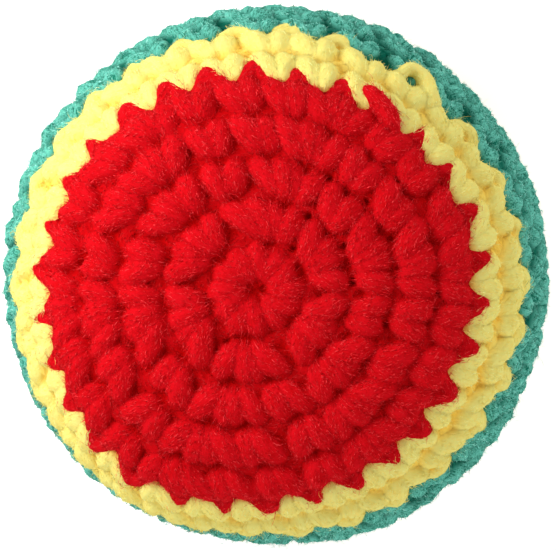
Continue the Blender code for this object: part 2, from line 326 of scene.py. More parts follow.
# How yarn and thread are spun, as points along a strand, sides, plies, and twist in radians per metre, and
# how far their plies stand out, as a share of the radius
STITCH_SPIN = Spin(30, 14, 4, 500.0)
TAIL_SPIN = Spin(60, 20, 4, 900.0)
TIE_SPIN = Spin(160, 18, 3, 2600.0)
tail_relief = 0.14
tie_relief = 0.16

# The lumps of the fluffy yarn, and how much longer they are along it
lump_size = 0.8 * MM
lump_stretch = 0.45

# The loose fibres: how far they stand up and go astray, how deep under the crest they still stand, how far
# the yarn may face away from the outside there, and the shortest and the longest as shares of their length
LOOSENESS = {"down": Looseness(1.2, 0.6), "fuzz": Looseness(0.8, 0.4), "strays": Looseness(0.7, 0.7)}
deepest_fibre = 1.2 * MM
least_facing = -0.15
shortest_fibre = 0.45
longest_fibre = 1.35

# A stray fibre's thickness as a share of the others', its bend as a share of its length, and its joints
stray_thickness = 0.55
stray_bend = 0.25
stray_joints = 3

# The down on the tails
tail_down_density = 9 / MM ** 2
tail_down_length = 0.5 * MM
TAIL_LOOSENESS = Looseness(1.2, 0.8)

# The grain of the finishes, in waves per metre, how much longer it is one way, and the height of their bumps
yarn_streaks = 9000.0
yarn_streak_stretch = 0.16
yarn_tufts = 1400.0
yarn_specks = 5500.0
yarn_bump = 0.12 * MM
fibre_specks = 3500.0
cloth_threads = 2600.0
cloth_slubs = 1500.0
cloth_slub_stretch = 0.06
cloth_clouds = 120.0
cloth_bump = 0.08 * MM
thread_streaks = 12000.0
thread_streak_stretch = 0.1
thread_bump = 0.04 * MM
pellet_clouds = 160.0
pellet_grain = 2200.0
pellet_bump = 0.05 * MM
pellet_glow_depth = 1.2 * MM

# How much of the yarn's mottling its streaks make beside its tufts, and both beside its specks
streak_share = 0.55
strand_share = 0.7

# The least of each channel in the yarn's sheen, and how much paler the palest fibres' channels are, as painted
# glints
sheen_floor = 0.05
fibre_paling = 1.3

# How the cloth's threads stand out beside its slubs, and how dark the darker parts of the cloth, the thread and
# the pellets are, as shares of their colours
crossing_share = 0.35
cloth_shade = 0.72
thread_shade = 0.6
PELLET_SHADES = (0.86, 0.84, 0.78)

# The lamps: which way each lies from the bag, how far off, and how wide it is, in metres
LAMPS = (
    Lamp("key", (-0.66, 0.33, 0.67), 0.12, 0.07),
    Lamp("fill", (0.25, -0.85, 0.26), 0.60, 0.50),
    Lamp("rim", (0.68, 0.70, 0.18), 0.60, 0.40),
)

# What the camera looks at, from the middle of the bag to the right and up in the picture, and how far it sees
aim_right = 0.19 * MM
aim_up = 0.23 * MM
camera_reach = 10.0

# The floor: how far it reaches, how far under the bag it lies, its grey, and how much it glows to the camera
floor_reach = 1.5
floor_gap = 0.25 * MM
floor_grey = 0.82
floor_glow = 0.64

# What sets each yarn apart: how strongly it is mottled at random with its painted shade colour, how much paler
# its palest fibres are as painted glints, between which depths under the crest it turns to its painted shade
# colour, how deep its backing lies, how many and how long its loose fibres are and how far they stand up, how
# strongly its plies and lumps stand out, and how soft its creases are
WOOLS = {
    "red": Wool(0.6, 0.05, 0.3 * MM, 1.5 * MM, 1.3 * MM, 1.0, 0.9, 0.9, 1.0, 1.0),
    "yellow": Wool(0.35, 0.12, 0.2 * MM, 1.4 * MM, 1.2 * MM, 0.9, 0.75, 0.45, 1.0, 1.0),
    "green": Wool(1.0, 0.28, 0.1 * MM, 1.0 * MM, 1.6 * MM, 0.7, 0.7, 0.7, 2.2, 0.5),
}


def length_setting(name, description, default):
    """A setting for a length."""
    return FloatProperty(
        name=name, description=description, default=default, unit="LENGTH", subtype="DISTANCE",
    )


def angle_setting(name, description, default):
    """A setting for an angle."""
    return FloatProperty(
        name=name, description=description, default=default, unit="ROTATION", subtype="ANGLE",
    )


def colour_setting(name, description, default):
    """A setting for a colour."""
    return FloatVectorProperty(
        name=name, description=description, default=default, subtype="COLOR", min=0, max=1,
    )


class FootbagYarnSettings(bpy.types.PropertyGroup):
    """Sizes of the yarn and of its stitches."""

    diameter: length_setting("Yarn diameter", "Thickness of the yarn in a stitch's legs", 2.2 * MM)
    lean: FloatProperty(
        name="Stitch lean", description="How far a stitch's top leans from its hole, in stitch widths",
        default=0.24, subtype="FACTOR",
    )
    unevenness: FloatProperty(
        name="Unevenness", description="How much one stitch differs from the next",
        default=1.0, min=0.0, max=3.0, subtype="FACTOR",
    )
    ply_relief: FloatProperty(
        name="Ply relief", description="How far the yarn's plies stand out, as a share of its radius",
        default=0.035, subtype="FACTOR",
    )
    lump_height: length_setting("Lump height", "How far the fluffy surface rises and falls", 0.34 * MM)
    crease_softness: IntProperty(
        name="Crease softness", description="How often the creases between strands are smoothed",
        default=7, min=0, max=40,
    )
    pit_width: length_setting(
        "Pit width", "How far an open hole between stitches draws the yarn in around it", 0.6 * MM,
    )
    pit_depth: length_setting("Pit depth", "How far the yarn is drawn in at an open hole", 0.9 * MM)
    down_length: length_setting("Down length", "Length of the short fibres that cover the yarn", 0.55 * MM)
    fuzz_length: length_setting("Fuzz length", "Length of the longer fibres among the down", 0.95 * MM)
    stray_length: length_setting(
        "Stray length", "Length of the few fibres that stray from the yarn", 1.6 * MM,
    )
    fibre_diameter: length_setting("Fibre diameter", "Thickness of one loose fibre", 0.06 * MM)
    down: IntProperty(
        name="Down", description="How many short fibres stand on a square centimetre of yarn", default=900,
    )
    fuzz: IntProperty(
        name="Fuzz", description="How many longer fibres stand on a square centimetre of yarn", default=600,
    )
    strays: IntProperty(
        name="Strays", description="How many stray fibres stand on a square centimetre of yarn", default=45,
    )
    voxel: length_setting(
        "Voxel", "Fineness of the yarn's surface on the crown and the upper ring", 0.24 * MM,
    )
    belt_voxel: length_setting("Belt voxel", "Fineness of the yarn's surface on the belt", 0.265 * MM)
    coarse_voxel: length_setting(
        "Coarse voxel", "Fineness of the yarn's surface under the belt", 0.30 * MM,
    )
    seed: IntProperty(name="Seed", description="Starts the random numbers", default=11)


class FootbagColourSettings(bpy.types.PropertyGroup):
    """Colours of the yarns, the cloth, the thread and the pellets, and the shade painted into the yarns'
    hollows.
    """

    red: colour_setting("Red yarn", "Colour of the crown and the base", (0.67, 0.004, 0.010))
    # Painted shade: the red yarn's colour deep between the stitches
    red_depth: colour_setting(
        "Red depth", "Colour of the red yarn deep between the stitches", (0.48, 0.0, 0.0),
    )
    yellow: colour_setting("Yellow yarn", "Colour of the two rings", (0.90, 0.82, 0.24))
    # Painted shade, orange like light bounced between the stitches: the yellow yarn's colour deep between them
    yellow_depth: colour_setting(
        "Yellow depth", "Colour of the yellow yarn deep between the stitches", (1.0, 0.63, 0.07),
    )
    green: colour_setting("Green yarn", "Colour of the belt", (0.16, 0.60, 0.47))
    # Painted shade: the green yarn's colour deep between the stitches
    green_depth: colour_setting(
        "Green depth", "Colour of the green yarn deep between the stitches", (0.004, 0.15, 0.095),
    )
    cloth: colour_setting(
        "Liner cloth", "Colour of the unbleached cotton that holds the pellets", (0.72, 0.68, 0.58),
    )
    thread: colour_setting(
        "Tie thread", "Colour of the thread round the liner's neck", (0.80, 0.78, 0.72),
    )
    pellet: colour_setting("Pellets", "Colour of the plastic pellets", (0.80, 0.81, 0.80))


class FootbagStageSettings(bpy.types.PropertyGroup):
    """The camera's place, the lamps and the floor."""

    tilt: angle_setting("Tilt", "Angle of the camera from straight above", math.radians(7))
    bearing: angle_setting(
        "Bearing", "Direction that the camera is tilted to, from +X towards +Y", math.radians(33),
    )
    distance: length_setting("Distance", "From the camera to the middle of the bag", 1.2)
    view_width: length_setting("View width", "Width of the picture at the middle of the bag", 55.4 * MM)
    key_strength: FloatProperty(
        name="Key strength", description="What the main lamp adds to a white surface that faces it",
        default=0.95,
    )
    fill_strength: FloatProperty(
        name="Fill strength", description="What the second lamp adds to a white surface that faces it",
        default=0.50,
    )
    rim_strength: FloatProperty(
        name="Rim strength",
        description="What the low lamp at the upper right adds to a white surface that faces it",
        default=0.46,
    )
    sky_strength: FloatProperty(
        name="Sky strength", description="Strength of the even light from all sides", default=0.38,
    )


def new_random(name):
    """Random numbers of their own for one piece of work, the same each time."""
    return random.Random(f"{bpy.context.scene.footbag_yarn.seed} {name}")


def walk_meridian():
    """Arc length, radius and height over the middle, down the crest line from pole to pole."""
    upper = []
    for step in range(meridian_steps + 1):
        angle = math.pi / 2 * (step / meridian_steps) ** (shoulder_exponent / 2)
        radius = bag_radius * math.sin(angle) ** (2 / shoulder_exponent)
        height = bag_half_height * max(0.0, math.cos(angle)) ** (2 / belt_exponent)
        upper.append((radius, height))
    lower = [(radius, -height) for radius, height in reversed(upper[:-1])]
    points = upper + lower
    steps = (math.dist(a, b) for a, b in zip(points, points[1:]))
    arcs = accumulate(steps, initial=0.0)
    return [(arc, radius, height) for arc, (radius, height) in zip(arcs, points)]


meridian = walk_meridian()
meridian_arcs = [arc for arc, _, _ in meridian]
meridian_length = meridian_arcs[-1]


def crest_at(arc):
    """Radius and height of the crest line at this arc length, and those of its outward normal."""
    arc = min(max(arc, 0.0), meridian_length)
    after = min(max(bisect_left(meridian_arcs, arc), 1), len(meridian) - 1)
    start, end = meridian[after - 1], meridian[after]
    length = end[0] - start[0]
    share = (arc - start[0]) / length
    radius = start[1] + share * (end[1] - start[1])
    height = start[2] + share * (end[2] - start[2]) + middle_height
    if height < 0 or arc >= meridian_length:
        return radius, 0.0, 0.0, -1.0
    return radius, height, (start[2] - end[2]) / length, (end[1] - start[1]) / length


def even_point(arc, angle, depth):
    """A point at this depth under the even crest line, and the outward direction there."""
    radius, height, normal_radius, normal_height = crest_at(arc)
    radius -= depth * normal_radius
    height -= depth * normal_height
    place = Vector((radius * math.cos(angle), radius * math.sin(angle), height))
    outward = Vector((normal_radius * math.cos(angle), normal_radius * math.sin(angle), normal_height))
    return place, outward


def nearness(angle, bearing, reach):
    """1 at this bearing and less and less to either side; bearing and reach in degrees."""
    apart = (math.degrees(angle) - bearing + 180) % 360 - 180
    return math.exp(-0.5 * (apart / reach) ** 2)


def drift_at(arc, angle):
    """How far the rounds lie off their even course here, along the cover."""
    crown, ring = (
        sum(drift.way * nearness(angle, drift.bearing, drift.reach) for drift in drifts)
        for drifts in (CROWN_DRIFTS, RING_DRIFTS)
    )
    crown_edge = crown_rounds * crown_round_height
    ring_edge = crown_edge + ring_rounds * ring_round_height
    middle = meridian_length / 2
    if arc < crown_edge:
        return crown * arc / crown_edge
    if arc < ring_edge:
        return crown + (ring - crown) * (arc - crown_edge) / (ring_edge - crown_edge)
    return ring * max(0.0, middle - arc) / (middle - ring_edge)


def swell_at(arc, angle):
    """How far the cover stands out over its even shape here."""
    return sum(
        swell.height * nearness(angle, swell.bearing, swell.reach)
        * math.exp(-0.5 * ((arc - swell.arc) / swell.arc_reach) ** 2)
        for swell in SWELLS
    )


def cover_point(arc, angle, depth):
    """A point of the cover at this depth under its crest, and the outward direction there."""
    return even_point(arc + drift_at(arc, angle), angle, depth - swell_at(arc, angle))


def work_bands():
    """The five bands of colour from the crown to the base, each with its rounds."""
    crown = [(stitches_added * (index + 1), crown_round_height) for index in range(crown_rounds)]
    full = crown_rounds * stitches_added
    ring = [(full, ring_round_height) for _ in range(ring_rounds)]
    belt = [(full, belt_round_height) for _ in range(belt_rounds)]
    plans = (
        ("red_crown", "red", crown),
        ("yellow_upper_ring", "yellow", ring),
        ("green_belt", "green", belt),
        ("yellow_lower_ring", "yellow", ring),
        ("red_base", "red", crown[::-1]),
    )
    stretch = meridian_length / sum(height for _, _, plan in plans for _, height in plan)
    bands = []
    start = 0.0
    for name, colour, plan in plans:
        rounds = []
        for stitches, height in plan:
            rounds.append(Round(stitches, start, start + height * stretch))
            start = rounds[-1].end
        bands.append(Band(name, colour, rounds))
    return bands


def work_round(holes, count, lean, chance):
    """The stitches of one round, worked into the holes of the round before.

    Where the count grows, some holes take two stitches, and where it shrinks, some stitches join two holes.
    """
    pitch = TURN / count
    joined = len(holes)
    spans = []
    for index in range(count):
        first = index * joined // count
        last = max(first, (index + 1) * joined // count - 1)
        spans.append((first, last))
    shared = [first for first, _ in spans]
    lefts = []
    rights = []
    for index, (first, last) in enumerate(spans):
        aside = 0.0
        if shared.count(first) > 1 and first == last:
            second = index and shared[index - 1] == first
            aside = shared_hole_spread * pitch if second else -shared_hole_spread * pitch
        lefts.append(holes[first] + aside)
        rights.append(holes[last] + aside)
    offsets = [(left + right) / 2 - index * pitch for index, (left, right) in enumerate(zip(lefts, rights))]
    phase = sum(offsets) / count + lean * pitch
    tops = [phase + pitch * (index + top_wander * chance.uniform(-1, 1)) for index in range(count)]
    return [Stitch(left, right, top) for left, right, top in zip(lefts, rights, tops)]


def leg_points(rows, stitch, worked_round, side, fuller, yarn_radius, unevenness, chance):
    """One leg of a stitch, from its hole to its tuck, as arc, angle, depth and thickness."""
    pitch = TURN / worked_round.stitches
    height = worked_round.end - worked_round.start
    hole = stitch.left_hole if side < 0 else stitch.right_hole
    puff = 1 + leg_puff * unevenness * chance.uniform(-1, 1)
    sunk = leg_sink * unevenness * chance.uniform(-1, 1)
    points = []
    for row in rows:
        climb = min(max((row.rise - rows[0].rise) / (1 - rows[0].rise), 0.0), 1.0)
        arc = worked_round.start + (row.rise + leg_wander * unevenness * chance.uniform(-1, 1)) * height
        if worked_round.start == 0.0:
            arc -= eye_draw * (1 - climb) * height
        foot = fuller * (1 - climb)
        angle = hole + climb * (stitch.top - hole) + side * (row.spread + foot_spread * foot) * pitch
        room = crest_at(arc)[0] * pitch / 4
        full = row.thickness * puff * (1 + foot_fullness * foot) * yarn_radius
        thickness = min(full, crowded_yarn_share * yarn_radius + crowded_room_share * room)
        points.append((arc, angle, (row.depth + sunk) * yarn_radius, thickness))
    return points


def loop_points(rows, stitch, following, worked_round, yarn_radius, unevenness, chance):
    """The front loop over a round's top, from a stitch's middle to the next one's."""
    height = worked_round.end - worked_round.start
    sunk = loop_sink * unevenness * chance.uniform(-1, 1)
    reach = 1 + loop_reach * unevenness * chance.uniform(-1, 1)
    points = []
    for row in rows:
        arc = worked_round.end + row.rise * reach * height
        angle = stitch.top + row.spread * (following - stitch.top)
        thickness = row.thickness * loop_share * yarn_radius
        points.append((arc, angle, (row.depth + sunk) * yarn_radius, thickness))
    return points


def takes_join(name, angle):
    """Whether a band's join stands where the loop at this angle would."""
    if name not in JOINS:
        return False
    _, middle, _, _ = JOINS[name][join_middle_point]
    return abs((angle - math.radians(middle) + math.pi) % TURN - math.pi) < join_room


def as_strand(points):
    """A strand through points that are given as arc, angle, depth and thickness."""
    places, outwards = zip(*(cover_point(arc, angle, depth) for arc, angle, depth, _ in points))
    depths = [depth for _, _, depth, _ in points]
    thicknesses = [thickness for _, _, _, thickness in points]
    return Strand(places, outwards, thicknesses, depths)


def work_cover(bands, settings):
    """The strands of every band, worked round after round from the crown's pole."""
    chance = new_random("cover")
    yarn_radius = settings.diameter / 2
    holes = [first_hole + TURN * index / stitches_added for index in range(stitches_added)]
    last_round = bands[-1].rounds[-1]
    cover = {}
    for band in bands:
        strands = []
        for worked_round in band.rounds:
            stitches = work_round(holes, worked_round.stitches, settings.lean, chance)
            first = worked_round is band.rounds[0]
            rows = EDGE_LEG_ROWS if first and band is not bands[0] else LEG_ROWS
            given = (0.0 if first else 1.0, yarn_radius, settings.unevenness, chance)
            for stitch in stitches:
                left, right = (leg_points(rows, stitch, worked_round, side, *given) for side in (-1, 1))
                strands.append(as_strand(left[::-1] + right))
            holes = [stitch.top for stitch in stitches]
            if worked_round is last_round:
                continue
            followings = holes[1:] + [holes[0] + TURN]
            rows = TOOTH_ROWS if worked_round is band.rounds[-1] else LOOP_ROWS
            for stitch, following in zip(stitches, followings):
                if worked_round is band.rounds[-1] and takes_join(band.name, (stitch.top + following) / 2):
                    continue
                loop = loop_points(
                    rows, stitch, following, worked_round, yarn_radius, settings.unevenness, chance,
                )
                strands.append(as_strand(loop))
        if band.name in JOINS:
            join = [
                (arc * MM, math.radians(angle), depth * MM, radius * MM)
                for arc, angle, depth, radius in JOINS[band.name]
            ]
            strands.append(as_strand(join))
        cover[band.name] = strands
    return cover


def free_strand(route, radii):
    """A strand that stands free, without a crest over it."""
    outwards = [Vector((0, 0, 0)) for _ in route]
    return Strand(route, outwards, radii, [0.0 for _ in route])


def knot_strand(route, index, radius, yarn_radius):
    """A turn and a half of yarn round the route at this point of it."""
    middle = route[index]
    along = (route[index + 1] - route[index - 1]).normalized()
    across = along.orthogonal().normalized()
    beside = along.cross(across)
    points = []
    for step in range(knot_steps + 1):
        share = step / knot_steps
        angle = knot_turns * TURN * share
        round_it = across * math.cos(angle) + beside * math.sin(angle)
        lengthwise = along * (share - 0.5) * knot_length_share * yarn_radius
        points.append(middle + round_it * radius + lengthwise)
    return free_strand(points, [yarn_radius for _ in points])


def change_tail(arc, angle, direction):
    """The strands of a tail where the colour changes, along the inside of the cover, with its knot."""
    tail_radius, knot_radius = tail_diameter / 2, knot_diameter / 2
    depth = cover_thickness + clearance + knot_radius
    radius, _, normal_radius, _ = crest_at(arc)
    ring_radius = radius - depth * normal_radius
    start = angle + direction * (knot_radius + clearance) / ring_radius
    sweep = direction * tail_length / ring_radius
    shares = [index / (tail_points - 1) for index in range(tail_points)]
    route = [even_point(arc, start + share * sweep, depth)[0] for share in shares]
    yarn_radius = knot_radius / 2
    radii = [tail_radius * (knotted_share if index <= knot_point else 1.0) for index in range(tail_points)]
    radii[-1] = cut_end_share * tail_radius
    return [free_strand(route, radii), knot_strand(route, knot_point, knot_radius - yarn_radius, yarn_radius)]


def pole_tail(height):
    """The strand of a tail that winds out from under a pole, flat against the inside of the cover."""
    route = []
    for index in range(pole_tail_points):
        share = index / (pole_tail_points - 1)
        radius = pole_tail_inner_radius + share * (pole_tail_outer_radius - pole_tail_inner_radius)
        angle = share * pole_tail_turns * TURN
        route.append(Vector((radius * math.cos(angle), radius * math.sin(angle), height)))
    radii = [tail_diameter / 2 for _ in route]
    radii[-1] *= cut_end_share
    return [free_strand(route, radii)]


def all_tails(bands):
    """Every tail as its name, its colour and its strands."""
    first, last = bands[0], bands[-1]
    depth = clearance + tail_diameter / 2
    tails = [(f"{first.name}_start_tail", first.colour, pole_tail(inner_ceiling - depth))]
    for index, (above, below) in enumerate(zip(bands, bands[1:])):
        arc = below.rounds[0].start
        angle = change_angle + index * change_step
        tails.append((f"{above.name}_end_tail", above.colour, change_tail(arc, angle, -1)))
        tails.append((f"{below.name}_start_tail", below.colour, change_tail(arc, angle, 1)))
    tails.append((f"{last.name}_closing_tail", last.colour, pole_tail(inner_floor + depth)))
    return tails


def liner_heights():
    """The heights of the liner's bottom, its top, the top of its neck and the neck's root."""
    neck_top = inner_ceiling - tail_room
    return inner_floor + tail_room, inner_ceiling - clearance, neck_top, neck_top - neck_length


def liner_line():
    """The liner's outer line as radius, height and gather, from its neck to the middle of its bottom."""
    bottom, top, neck_top, root = liner_heights()
    middle = (top + bottom) / 2
    half = (top - bottom) / 2
    reach = bag_radius - cover_thickness - liner_slack
    edge_angle = math.asin((dimple_radius / reach) ** (liner_shoulder_exponent / 2))
    edge_height = middle + half * math.cos(edge_angle)
    line = []
    for row in range(neck_rows + 1):
        line.append((neck_radius, neck_top + (root - neck_top) * row / neck_rows, 1.0))
    for row in range(1, dimple_rows):
        share = row / dimple_rows
        radius = neck_radius + share * (dimple_radius - neck_radius)
        height = root + (edge_height - root) * (1 - math.cos(math.pi * share)) / 2
        line.append((radius, height, 1 - dimple_loss * share))
    for row in range(liner_rows):
        share = row / liner_rows
        angle = edge_angle + (math.pi - edge_angle) * share
        exponent = liner_shoulder_exponent if angle < math.pi / 2 else liner_base_exponent
        radius = reach * math.sin(angle) ** (2 / exponent)
        gather = (1 - dimple_loss) * max(0.0, 1 - fold_fading * share) ** fold_fading_exponent
        line.append((radius, middle + half * math.cos(angle), gather))
    return line + [(0.0, bottom, 0.0)]


def tie_strands():
    """The thread wound round the liner's neck, and the stitch over its turns that holds it."""
    _, _, neck_top, root = liner_heights()
    pitch = tie_diameter + tie_turn_gap
    radius = neck_radius + clearance + tie_diameter / 2
    first = (neck_top + root - tie_turns * pitch) / 2
    route = []
    for index in range(tie_turns * tie_points_per_turn + 1):
        turns = index / tie_points_per_turn
        angle = turns * TURN
        route.append(Vector((radius * math.cos(angle), radius * math.sin(angle), first + turns * pitch)))
    stitch = []
    for step in range(tie_stitch_steps + 1):
        share = step / tie_stitch_steps
        reach = radius + tie_diameter * math.sin(math.pi * share) ** tie_stitch_bow
        sway = tie_stitch_sway * tie_diameter * math.sin(TURN * share)
        stitch.append(Vector((reach, sway, first + tie_turns * pitch * (1 - share))))
    thread_radius = tie_diameter / 2
    knot_reach = tie_knot_reach * tie_diameter
    return [
        free_strand(route, [thread_radius for _ in route]),
        free_strand(stitch, [tie_stitch_share * thread_radius for _ in stitch]),
        knot_strand(stitch, tie_stitch_steps // 2, knot_reach, tie_knot_share * thread_radius),
    ]


class NodeWriter:
    """Writes a node tree: makes nodes, and joins or sets their sockets by name or number."""

    spacing = 180

    def __init__(self, tree):
        self.tree = tree

    def feed(self, node, inputs):
        """Joins these inputs of a node to sockets, or sets them to plain values."""
        for key, value in inputs.items():
            if isinstance(value, bpy.types.NodeSocket):
                self.tree.links.new(value, node.inputs[key])
            else:
                node.inputs[key].default_value = value

    def node(self, kind, inputs=None, **properties):
        made = self.tree.nodes.new(kind)
        made.location.x = self.spacing * len(self.tree.nodes)
        for name, value in properties.items():
            setattr(made, name, value)
        self.feed(made, inputs or {})
        return made

    def out(self, kind, inputs=None, **properties):
        """The first output of a new node."""
        return self.node(kind, inputs, **properties).outputs[0]

    def math(self, operation, first, second=0.0):
        return self.out("ShaderNodeMath", {0: first, 1: second}, operation=operation)

    def product(self, first, *others):
        for other in others:
            first = self.math("MULTIPLY", first, other)
        return first

    def blended(self, share, first, second):
        """This share of the first value and the rest of the second."""
        return self.math("ADD", self.product(first, share), self.product(second, 1 - share))

    def vector(self, operation, first, second=(0, 0, 0)):
        return self.out("ShaderNodeVectorMath", {0: first, 1: second}, operation=operation)

    def dot(self, first, second):
        made = self.node("ShaderNodeVectorMath", {0: first, 1: second}, operation="DOT_PRODUCT")
        return made.outputs["Value"]

    def scaled(self, vector, factor):
        return self.out("ShaderNodeVectorMath", {0: vector, "Scale": factor}, operation="SCALE")

    def noise(self, vector, scale, detail, **more):
        return self.out("ShaderNodeTexNoise", {"Vector": vector, "Scale": scale, "Detail": detail, **more})

    def ranged(self, value, low, high, first=0.0, last=1.0, **properties):
        """A value brought from between low and high to between first and last."""
        limits = {"Value": value, "From Min": low, "From Max": high, "To Min": first, "To Max": last}
        return self.out("ShaderNodeMapRange", limits, **properties)

    def chance(self, low, high, seed):
        return self.node("FunctionNodeRandomValue", {2: low, 3: high, "Seed": seed}).outputs[1]

    def chance_vector(self, low, high, seed):
        limits = {0: low, 1: high, "Seed": seed}
        return self.out("FunctionNodeRandomValue", limits, data_type="FLOAT_VECTOR")

    def named(self, name, data_type="FLOAT"):
        made = self.node("GeometryNodeInputNamedAttribute", {"Name": name}, data_type=data_type)
        return made.outputs["Attribute"]

    def stored(self, geometry, name, value, data_type="FLOAT"):
        inputs = {"Geometry": geometry, "Name": name, "Value": value}
        return self.out("GeometryNodeStoreNamedAttribute", inputs, data_type=data_type, domain="POINT")

    def moved(self, geometry, offset):
        return self.out("GeometryNodeSetPosition", {"Geometry": geometry, "Offset": offset})


def new_geometry_tree(name, sockets):
    """An empty tree with a geometry in and out and the named inputs, its writer and its input sockets."""
    tree = bpy.data.node_groups.new(name, "GeometryNodeTree")
    tree.interface.new_socket("Geometry", in_out="INPUT", socket_type="NodeSocketGeometry")
    tree.interface.new_socket("Geometry", in_out="OUTPUT", socket_type="NodeSocketGeometry")
    for label, kind in sockets:
        tree.interface.new_socket(label, in_out="INPUT", socket_type=f"NodeSocket{kind}")
    writer = NodeWriter(tree)
    return tree, writer, writer.node("NodeGroupInput").outputs


def end_tree(writer, geometry, material):
    """Realises the instances, sets the material and joins the result to the tree's output."""
    real = writer.out("GeometryNodeRealizeInstances", {"Geometry": geometry})
    painted = writer.out("GeometryNodeSetMaterial", {"Geometry": real, "Material": material})
    writer.node("NodeGroupOutput", {"Geometry": painted})


def yarn_tree():
    """Sweeps a plied yarn along each line of the mesh that it is given."""
    sockets = (
        ("Points", "Int"), ("Sides", "Int"), ("Plies", "Int"), ("Ply Relief", "Float"),
        ("Twist", "Float"), ("Material", "Material"),
    )
    tree, writer, given = new_geometry_tree("Yarn", sockets)
    curve = writer.out("GeometryNodeMeshToCurve", {"Mesh": given["Geometry"]})
    curve = writer.out("GeometryNodeCurveSplineType", {"Curve": curve}, spline_type="CATMULL_ROM")
    curve = writer.out("GeometryNodeResampleCurve", {"Curve": curve, "Count": given["Points"]})
    along = writer.node("GeometryNodeSplineParameter").outputs["Length"]
    curve = writer.stored(curve, "along", along)
    curve = writer.stored(curve, "direction", writer.out("GeometryNodeInputTangent"), "FLOAT_VECTOR")
    turn = writer.product(writer.named("along"), given["Twist"])
    turn = writer.math("ADD", turn, writer.named("lot"))
    curve = writer.out("GeometryNodeSetCurveTilt", {"Curve": curve, "Tilt": turn})

    circle = {"Resolution": given["Sides"], "Radius": 1.0}
    section = writer.out("GeometryNodeCurvePrimitiveCircle", circle)
    round_it = writer.node("GeometryNodeSplineParameter").outputs["Factor"]
    ripple = writer.math("COSINE", writer.product(round_it, TURN, given["Plies"]))
    place = writer.out("GeometryNodeInputPosition")
    section = writer.moved(section, writer.scaled(place, writer.product(ripple, given["Ply Relief"])))
    section = writer.stored(section, "section", place, "FLOAT_VECTOR")

    swept = {
        "Curve": curve, "Profile Curve": section, "Scale": writer.named("thickness"), "Fill Caps": True,
    }
    mesh = writer.out("GeometryNodeCurveToMesh", swept)
    across = writer.scaled(writer.named("section", "FLOAT_VECTOR"), writer.named("thickness"))
    lengthwise = writer.out("ShaderNodeCombineXYZ", {"Z": writer.named("along")})
    fibre_point = writer.vector("ADD", across, lengthwise)
    fibre_point = writer.vector("ADD", fibre_point, writer.scaled((1.0, 1.0, 1.0), writer.named("lot")))
    mesh = writer.stored(mesh, "fibre_point", fibre_point, "FLOAT_VECTOR")
    mesh = writer.out("GeometryNodeSetShadeSmooth", {"Geometry": mesh})
    end_tree(writer, mesh, given["Material"])
    return tree


def fluff_tree():
    """Gives merged yarn its strands' values, its depth under the crest, its pits and its fluffy surface."""
    sockets = (
        ("Strands", "Object"), ("Crest", "Object"), ("Pits", "Object"), ("Pit Width", "Float"),
        ("Pit Depth", "Float"), ("Lump Height", "Float"), ("Lump Size", "Float"), ("Material", "Material"),
    )
    tree, writer, given = new_geometry_tree("Fluff", sockets)
    strands, crest, pits = (
        writer.node("GeometryNodeObjectInfo", {"Object": given[name]}).outputs["Geometry"]
        for name in ("Strands", "Crest", "Pits")
    )
    mesh = given["Geometry"]
    for name in ("fibre_point", "direction", "outward"):
        wanted = {"Mesh": strands, "Value": writer.named(name, "FLOAT_VECTOR")}
        value = writer.out("GeometryNodeSampleNearestSurface", wanted, data_type="FLOAT_VECTOR")
        mesh = writer.stored(mesh, name, value, "FLOAT_VECTOR")
    outward = writer.named("outward", "FLOAT_VECTOR")
    place = writer.out("GeometryNodeInputPosition")

    pit = writer.node("GeometryNodeProximity", {"Geometry": pits}, target_element="POINTS")
    reach = (0.0, given["Pit Width"], 1.0, 0.0)
    near = writer.ranged(pit.outputs["Distance"], *reach, interpolation_type="SMOOTHSTEP")
    mesh = writer.moved(mesh, writer.scaled(outward, writer.product(near, given["Pit Depth"], -1.0)))

    fibre_point = writer.named("fibre_point", "FLOAT_VECTOR")
    stretched = writer.vector("MULTIPLY", fibre_point, (1.0, 1.0, lump_stretch))
    noise = writer.noise(stretched, writer.math("DIVIDE", 1.0, given["Lump Size"]), detail=3.0)
    lump = writer.product(writer.math("SUBTRACT", noise, 0.5), given["Lump Height"])
    mesh = writer.moved(mesh, writer.scaled(writer.out("GeometryNodeInputNormal"), lump))

    # The depth under the crest, which the finishes read to paint shade in the hollows
    nearest = writer.node("GeometryNodeProximity", {"Geometry": crest}, target_element="FACES")
    depth = writer.dot(writer.vector("SUBTRACT", nearest.outputs["Position"], place), outward)
    mesh = writer.stored(mesh, "depth", depth)
    mesh = writer.out("GeometryNodeSetShadeSmooth", {"Geometry": mesh})
    end_tree(writer, mesh, given["Material"])
    return tree


